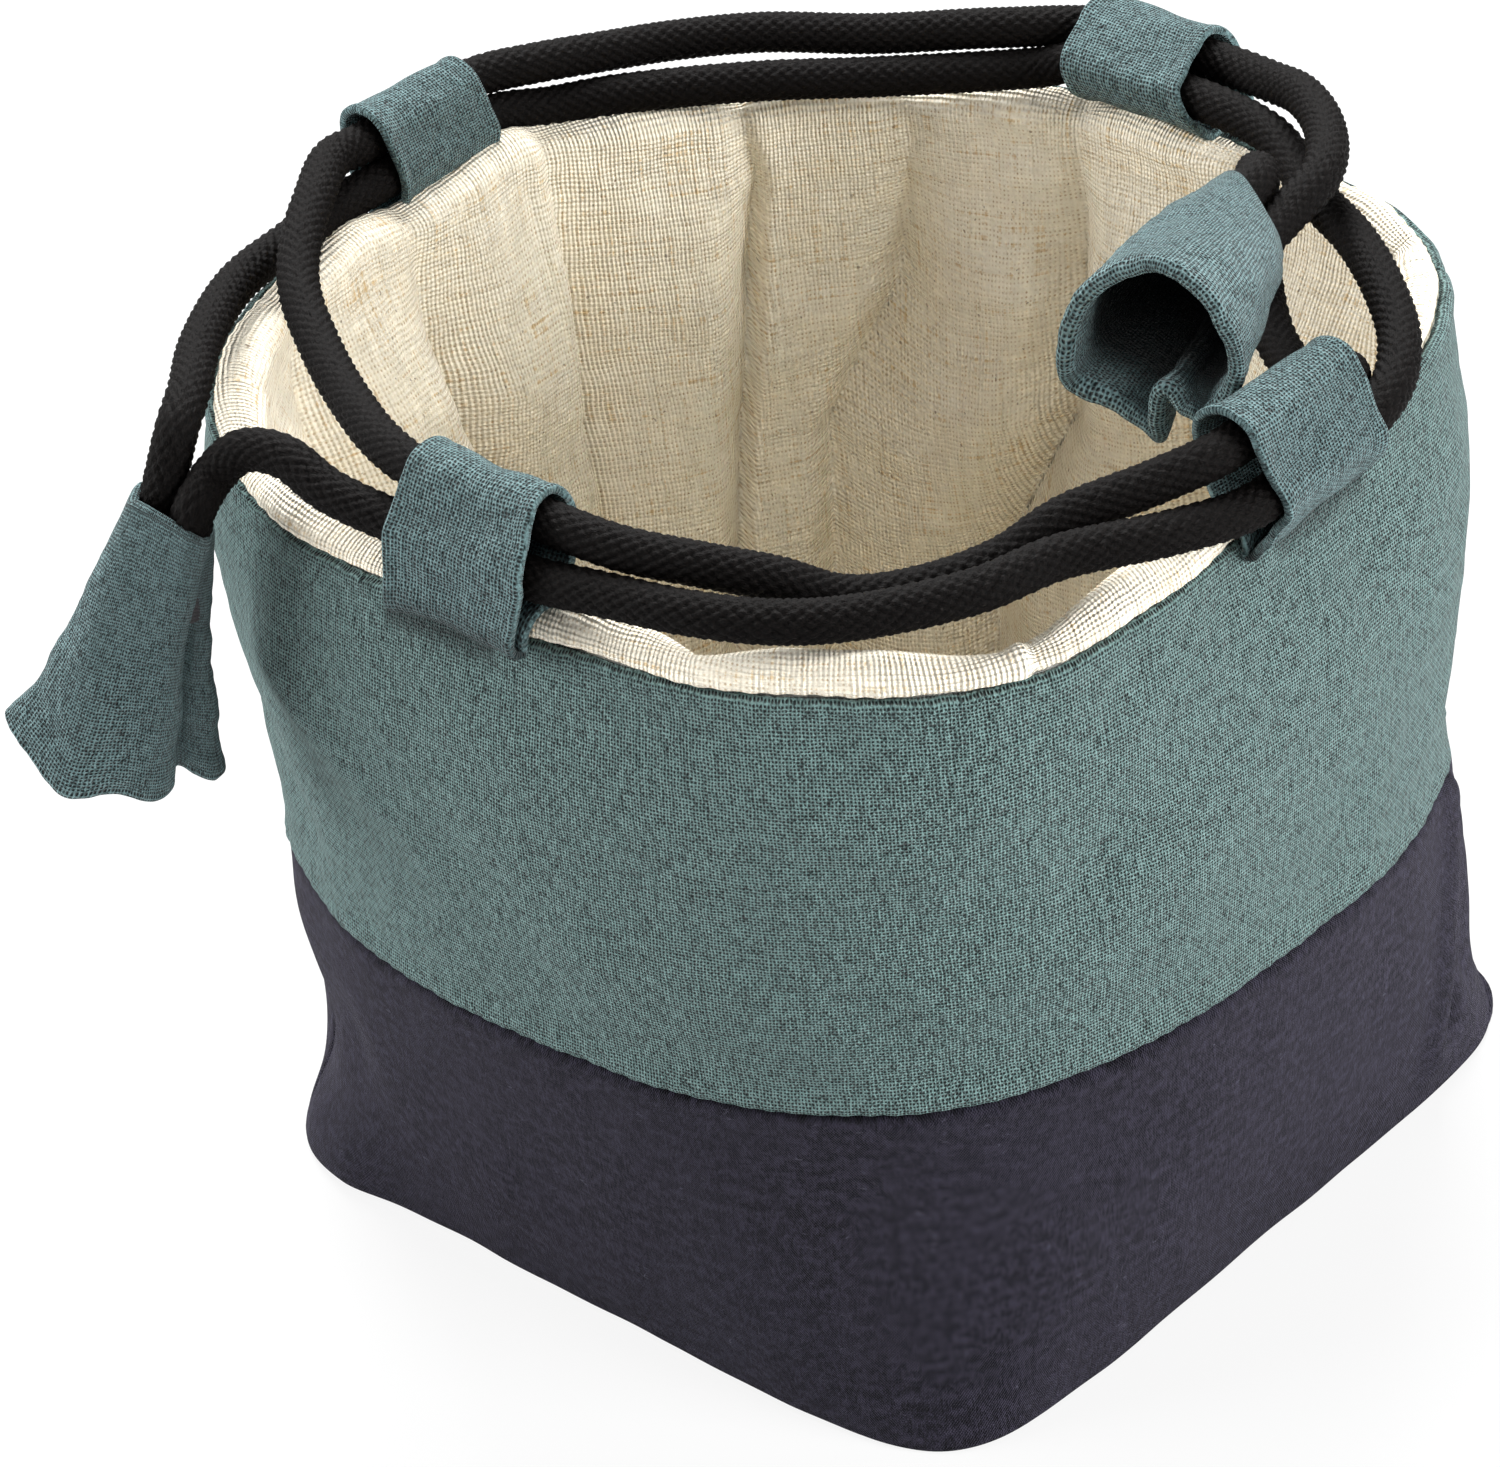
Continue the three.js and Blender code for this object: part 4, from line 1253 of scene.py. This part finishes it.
def braided_cord(name, route, stretches=None):
    """A cord along a route, whole or in stretches: each from and to so far along the route."""
    path, length = smooth_route(route, cord_ring)
    normals, crosses = square_to(path)
    last = len(path) - 1
    shape = bmesh.new()
    flat = shape.loops.layers.uv.new("cloth")
    for start, end in stretches or [(0, length)]:
        first_ring = round(start / length * last)
        rings = round(end / length * last) - first_ring
        made = bmesh.ops.create_grid(shape, x_segments=cord_round, y_segments=rings, size=1)
        shares = np.array([vert.co[:2] for vert in made["verts"]]) / 2 + 0.5
        around = shares[:, 0]
        ring = first_ring + np.round(shares[:, 1] * rings).astype(int)
        along = ring * length / last
        turn = -2 * math.pi * around
        radius = cord_diameter / 2 + braid_stand - grain_height * (1 - braid_height(around, along))
        end_gap = np.minimum(ring - first_ring, first_ring + rings - ring) * length / last
        radius *= np.sqrt(1 - (1 - np.clip(end_gap / end_rounding, 0, 1)) ** 2 * 0.9)
        spread_out = normals[ring] * np.cos(turn)[:, None] + crosses[ring] * np.sin(turn)[:, None]
        points = path[ring] + spread_out * radius[:, None]
        on_cloth = dict(zip(made["verts"], zip(around * math.pi * cord_diameter, along)))
        for vert, point in zip(made["verts"], points):
            vert.co = point
        for face in {face for vert in made["verts"] for face in vert.link_faces}:
            face.smooth = True
            for corner in face.loops:
                corner[flat].uv = on_cloth[corner.vert]
        bmesh.ops.remove_doubles(shape, verts=made["verts"], dist=1e-7)
    open_edges = [edge for edge in shape.edges if edge.is_boundary]
    bmesh.ops.holes_fill(shape, edges=open_edges, sides=0)
    bmesh.ops.recalc_face_normals(shape, faces=shape.faces)
    return piece_from(shape, name, black_braid), path, length


black = Finish("black_braid")
place = black.on_cloth()
yarn = black.cloud(black.stretched(place, 1.0, 0.5), 0.00025, 2.0, 0.6)
dust = black.cloud(place, 0.0007).between(0.70, 0.78)
black_tone = black.mixed(yarn.between(0.3, 0.75), dyed(2, 2, 2), dyed(17, 14, 13))
black_tone = black.mixed(dust * 0.15, black_tone, dyed(84, 80, 78))
black_braid = black.surface(
    Base_Color=black_tone,
    Roughness=0.6,
    Specular_IOR_Level=0.045,
    Normal=black.bumped(yarn, 0.00022),
)

bell_part = 0.0050  # the right cord's main part starts this far from its ends
part_overlap = 0.0015
cords = {}
for name, route in [("left", left_route), ("right", right_route)]:
    _, whole = smooth_route(route, cord_ring)
    stretches = [(bell_part, whole - bell_part)] if name == "right" else None
    cord, path, length = braided_cord(f"{name}_cord", route, stretches)
    cords[name] = cord
    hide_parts(f"{name}_drawstring")
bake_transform(cords["left"])
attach(cords["right"], "bag")

# The right cord's two ends, which turn with its bell
end_part = bell_part + part_overlap
cord_tips, _, _ = braided_cord(
    "right_cord_ends", right_route, [(0, end_part), (whole - end_part, whole)]
)
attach(cord_tips, "right_bell")
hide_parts("right_drawstring")


# Bells: the teal cloth doubled and folded to a cover that is tight round the cord ends and
# opens to a soft mouth, with one deep pleat along it. Black thread binds the ends inside.
bell_length = 0.042
# Three outlines each, in millimetres: the neck, a section part of the way down, and the mouth.
# A point is (side, across, along the axis from the neck), and the outlines' points match.
bell_outlines = {
    "left": [
        [
            (-7.0, 0.5, -0.4), (-6.2, 2.8, -1.0), (-3.8, 4.2, -1.0), (-0.6, 5.2, -0.4),
            (2.4, 6.2, 0.2), (4.8, 5.6, 0.8), (5.6, 3.8, 1.0), (5.7, 2.4, 1.0),
            (5.9, 1.2, 1.0), (5.4, -1.2, 0.8), (3.0, -3.6, 0.4), (-2.0, -5.2, -0.6),
            (-6.0, -3.6, -1.4),
        ],
        [
            (-10.8, -0.2, 19), (-8.0, 4.8, 19), (-4.5, 6.2, 19), (0.0, 6.2, 19),
            (4.0, 5.8, 19), (5.8, 3.8, 19), (5.4, 0.6, 19), (7.2, 0.4, 19),
            (9.0, -1.0, 19), (8.8, -3.2, 19), (4.5, -6.0, 19), (-1.5, -6.2, 19),
            (-7.5, -4.0, 19),
        ],
        [
            (-16.4, -0.4, 36.6), (-11.8, 4.4, 39.6), (-6.4, 8.0, 43.0), (1.0, 5.4, 42.0),
            (6.0, 4.0, 42.8), (8.8, 1.8, 41.6), (8.8, -2.2, 39.6), (11.5, -2.8, 40.6),
            (14.8, -3.6, 41.0), (14.8, -5.8, 39.5), (8.0, -8.5, 40.0), (-2.0, -8.0, 39.0),
            (-11.0, -5.5, 37.0),
        ],
    ],
    "right": [
        [
            (-8.3, -0.8, -1.0), (-7.6, -3.2, -1.0), (-5.0, -4.9, -0.6), (-1.5, -5.2, -0.2),
            (0.8, -5.4, 0.0), (2.2, -5.6, 0.4), (3.2, -5.6, 0.8), (4.4, -5.0, 1.2),
            (5.2, -4.2, 1.6), (6.0, -2.6, 2.2), (6.0, -0.4, 3.0), (5.0, 1.6, 4.0),
            (3.0, 2.9, 3.8), (0.0, 3.4, 2.8), (-3.5, 3.4, 1.2), (-6.4, 2.8, -0.2),
            (-8.0, 1.2, -0.8),
        ],
        [
            (-10.5, -1.5, 19), (-8.0, -5.2, 19), (-4.0, -7.0, 19), (0.5, -6.8, 19),
            (3.5, -6.4, 19), (5.4, -6.0, 19), (5.6, -4.6, 19), (5.6, -3.4, 19),
            (6.8, -3.8, 19), (8.8, -2.0, 19), (9.5, 2.0, 19), (8.2, 6.5, 19),
            (5.4, 9.2, 19), (0.0, 10.2, 19), (-4.5, 9.4, 19), (-8.2, 6.8, 19),
            (-10.4, 2.5, 19),
        ],
        [
            (-10.6, -2.5, 41.6), (-7.0, -10.2, 42), (-3.5, -12.4, 42), (3.0, -9.6, 42),
            (7.5, -8.3, 42), (10.2, -7.8, 42), (8.6, -5.4, 42.3), (6.8, -1.6, 42),
            (10.2, -1.6, 42.5), (13.4, 0.3, 42), (13.2, 6.0, 41), (10.7, 10.4, 40),
            (6.7, 12.7, 40), (0.5, 14.4, 40), (-5.3, 13.6, 40.3), (-8.6, 11.0, 40.7),
            (-11.1, 5.5, 41.2),
        ],
    ],
}
bell_middle = 0.45  # the middle outlines' share of the way from the neck to the mouth
bell_cloth = 0.0017  # thickness of the doubled cloth
hem_radius = 0.0013
hem_start = 0.965  # its share of the way from the neck to the mouth
swell_start = 0.80  # the cloth thickens towards the hem from here, over this share
swell_share = 0.16
bell_round = 170  # faces round a bell
bell_crinkles = [(0.0004, 0.005, 0), (0.00022, 0.0018, 1), (0.0007, 0.012, 2)]


def closed_curve(points, count):
    """A smooth closed line through points, with the same number of steps between every two."""
    line = np.array(points, float)
    shares = np.linspace(0, len(line), count, endpoint=False)
    base = shares.astype(int)
    t = (shares - base)[:, None]
    before, start, end, after = (line[(base + offset) % len(line)] for offset in (-1, 0, 1, 2))
    bend = 2 * before - 5 * start + 4 * end - after
    twist = 3 * start - before - 3 * end + after
    return start + 0.5 * t * (end - before + t * (bend + t * twist))


def bell_profile():
    """The cloth's way down the outside, round the hem, up the inside and over the neck's edge.
    Each point has its share of the way to the mouth, how far outwards it lies, and its place
    along the cloth, in shares too."""
    half = bell_cloth / 2
    profile = []

    def swell(share):
        """How far the cloth thickens on each side towards the hem."""
        return (hem_radius - half) * float(eased((share - swell_start) / swell_share))

    for share in np.linspace(0, hem_start, 66):
        profile.append((share, swell(share), share))
    for turn in np.linspace(0.15, math.pi - 0.15, 12):
        bead = (0.97 + hem_radius * math.sin(turn) / bell_length, hem_radius * math.cos(turn) - half)
        profile.append((*bead, hem_start + 0.07 * turn / math.pi))
    for share in np.linspace(hem_start, 0.01, 44):
        profile.append((share, -bell_cloth - swell(share), 2 - share))
    for turn in np.linspace(0.3, math.pi - 0.3, 6):
        edge = (-half * math.sin(turn) / bell_length, -half * (1 + math.cos(turn)))
        profile.append((*edge, 2 + 0.02 * turn))
    return np.array(profile)


def bell_piece(name, end, outlines, seed):
    """A bell of doubled cloth on its cord ends, and the length of its mouth."""
    neck, middle, mouth = (closed_curve(outline, bell_round) / 1000 for outline in outlines)
    following = np.roll(mouth, -1, axis=0)
    mouth_length = np.linalg.norm(following - mouth, axis=1).sum()
    winding = np.sign((mouth[:, 0] * following[:, 1] - mouth[:, 1] * following[:, 0]).sum())
    profile = bell_profile()
    axis, sideways, crossways = bell_ways(end)

    def section(spot, share):
        """A point of the cloth's middle surface: an even curve through the three outlines."""
        share = share[:, None]
        m = bell_middle
        at_neck = neck[spot] * (share - m) * (share - 1) / m
        at_middle = middle[spot] * share * (share - 1) / (m * (m - 1))
        at_mouth = mouth[spot] * share * (share - m) / (1 - m)
        return at_neck + at_middle + at_mouth

    def place(around, down):
        spot = np.round(around * bell_round).astype(int) % bell_round
        step = np.round(down * len(profile)).astype(int) % len(profile)
        share, offset, along_cloth = profile[step].T
        here = section(spot, share)
        run = section((spot + 2) % bell_round, share) - section((spot - 2) % bell_round, share)
        out = np.stack([run[:, 1], -run[:, 0]], axis=1)
        out *= winding / np.linalg.norm(out, axis=1)[:, None]
        stand = offset + crumpled(here, bell_crinkles, seed) * np.clip(share * 4, 0.2, 1)
        here[:, :2] += out * stand[:, None]
        points = np.array(end["neck"]) + np.outer(here[:, 2], axis)
        points += np.outer(here[:, 0], sideways) + np.outer(here[:, 1], crossways)
        flat = np.stack([around * mouth_length, along_cloth * bell_length], axis=1)
        return points, flat

    bell = cloth_object(name, bell_round, len(profile), place, bell_finish, merge=1e-7)
    return bell, mouth_length


# The bells are the wall's teal cloth; their darker threads here are painted shade.
bell_finish = teal_finish("teal_crepe_bells_painted_shade", thread=(106, 132, 134), painted_shade_from=1.10 * bell_length)
for name, seed in [("left", 71), ("right", 72)]:
    bell, mouth_length = bell_piece(
        f"{name}_bell_cloth", cord_ends[name], bell_outlines[name], seed
    )
    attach(bell, f"{name}_bell")
    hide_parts(f"{name}_end_cover")
    mouth_length * bell_length * 0.8


# Bindings: black sewing thread in a few close turns round the two cord ends in each bell. They
# hold the two ends side by side and keep the braid from fraying.
def binding_piece(name, end):
    """Thread wound round the two cord ends in a bell."""
    turns = 11
    steps = 36
    thread_radius = 0.0003
    length = 0.0066
    start = 0.0084  # from the neck
    half_width = 0.0064
    half_depth = 0.0033
    curve = bpy.data.curves.new(name, "CURVE")
    curve.dimensions = "3D"
    curve.bevel_depth = thread_radius
    curve.bevel_resolution = 2
    spline = curve.splines.new("POLY")
    spline.points.add(turns * steps)
    for i in range(turns * steps + 1):
        turn = 2 * math.pi * i / steps
        along = start + length * i / (turns * steps)
        spot = in_bell(end, along, half_width * math.cos(turn), half_depth * math.sin(turn))
        spline.points[i].co = (*spot, 1)
    made = bpy.data.objects.new(name + "_curve", curve)
    bpy.context.scene.collection.objects.link(made)
    bpy.context.view_layer.update()
    mesh = bpy.data.meshes.new_from_object(made.evaluated_get(bpy.context.evaluated_depsgraph_get()))
    bpy.data.objects.remove(made)
    mesh.name = name
    mesh.materials.clear()
    mesh.materials.append(thread_finish)
    piece = bpy.data.objects.new(name, mesh)
    bpy.context.scene.collection.objects.link(piece)
    return piece


sewing = Finish("black_sewing_thread")
where = sewing.node("ShaderNodeTexCoord", {}, {}, "Object")
ply = sewing.cloud(where, 0.0003)
thread_finish = sewing.surface(
    Base_Color=sewing.mixed(ply, dyed(24, 22, 24), dyed(70, 66, 68)),
    Roughness=0.6,
    Normal=sewing.bumped(ply, 0.0001),
)
for name, end in cord_ends.items():
    binding = binding_piece(f"{name}_binding", end)
    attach(binding, f"{name}_bell")
    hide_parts(f"{name}_end_binding")
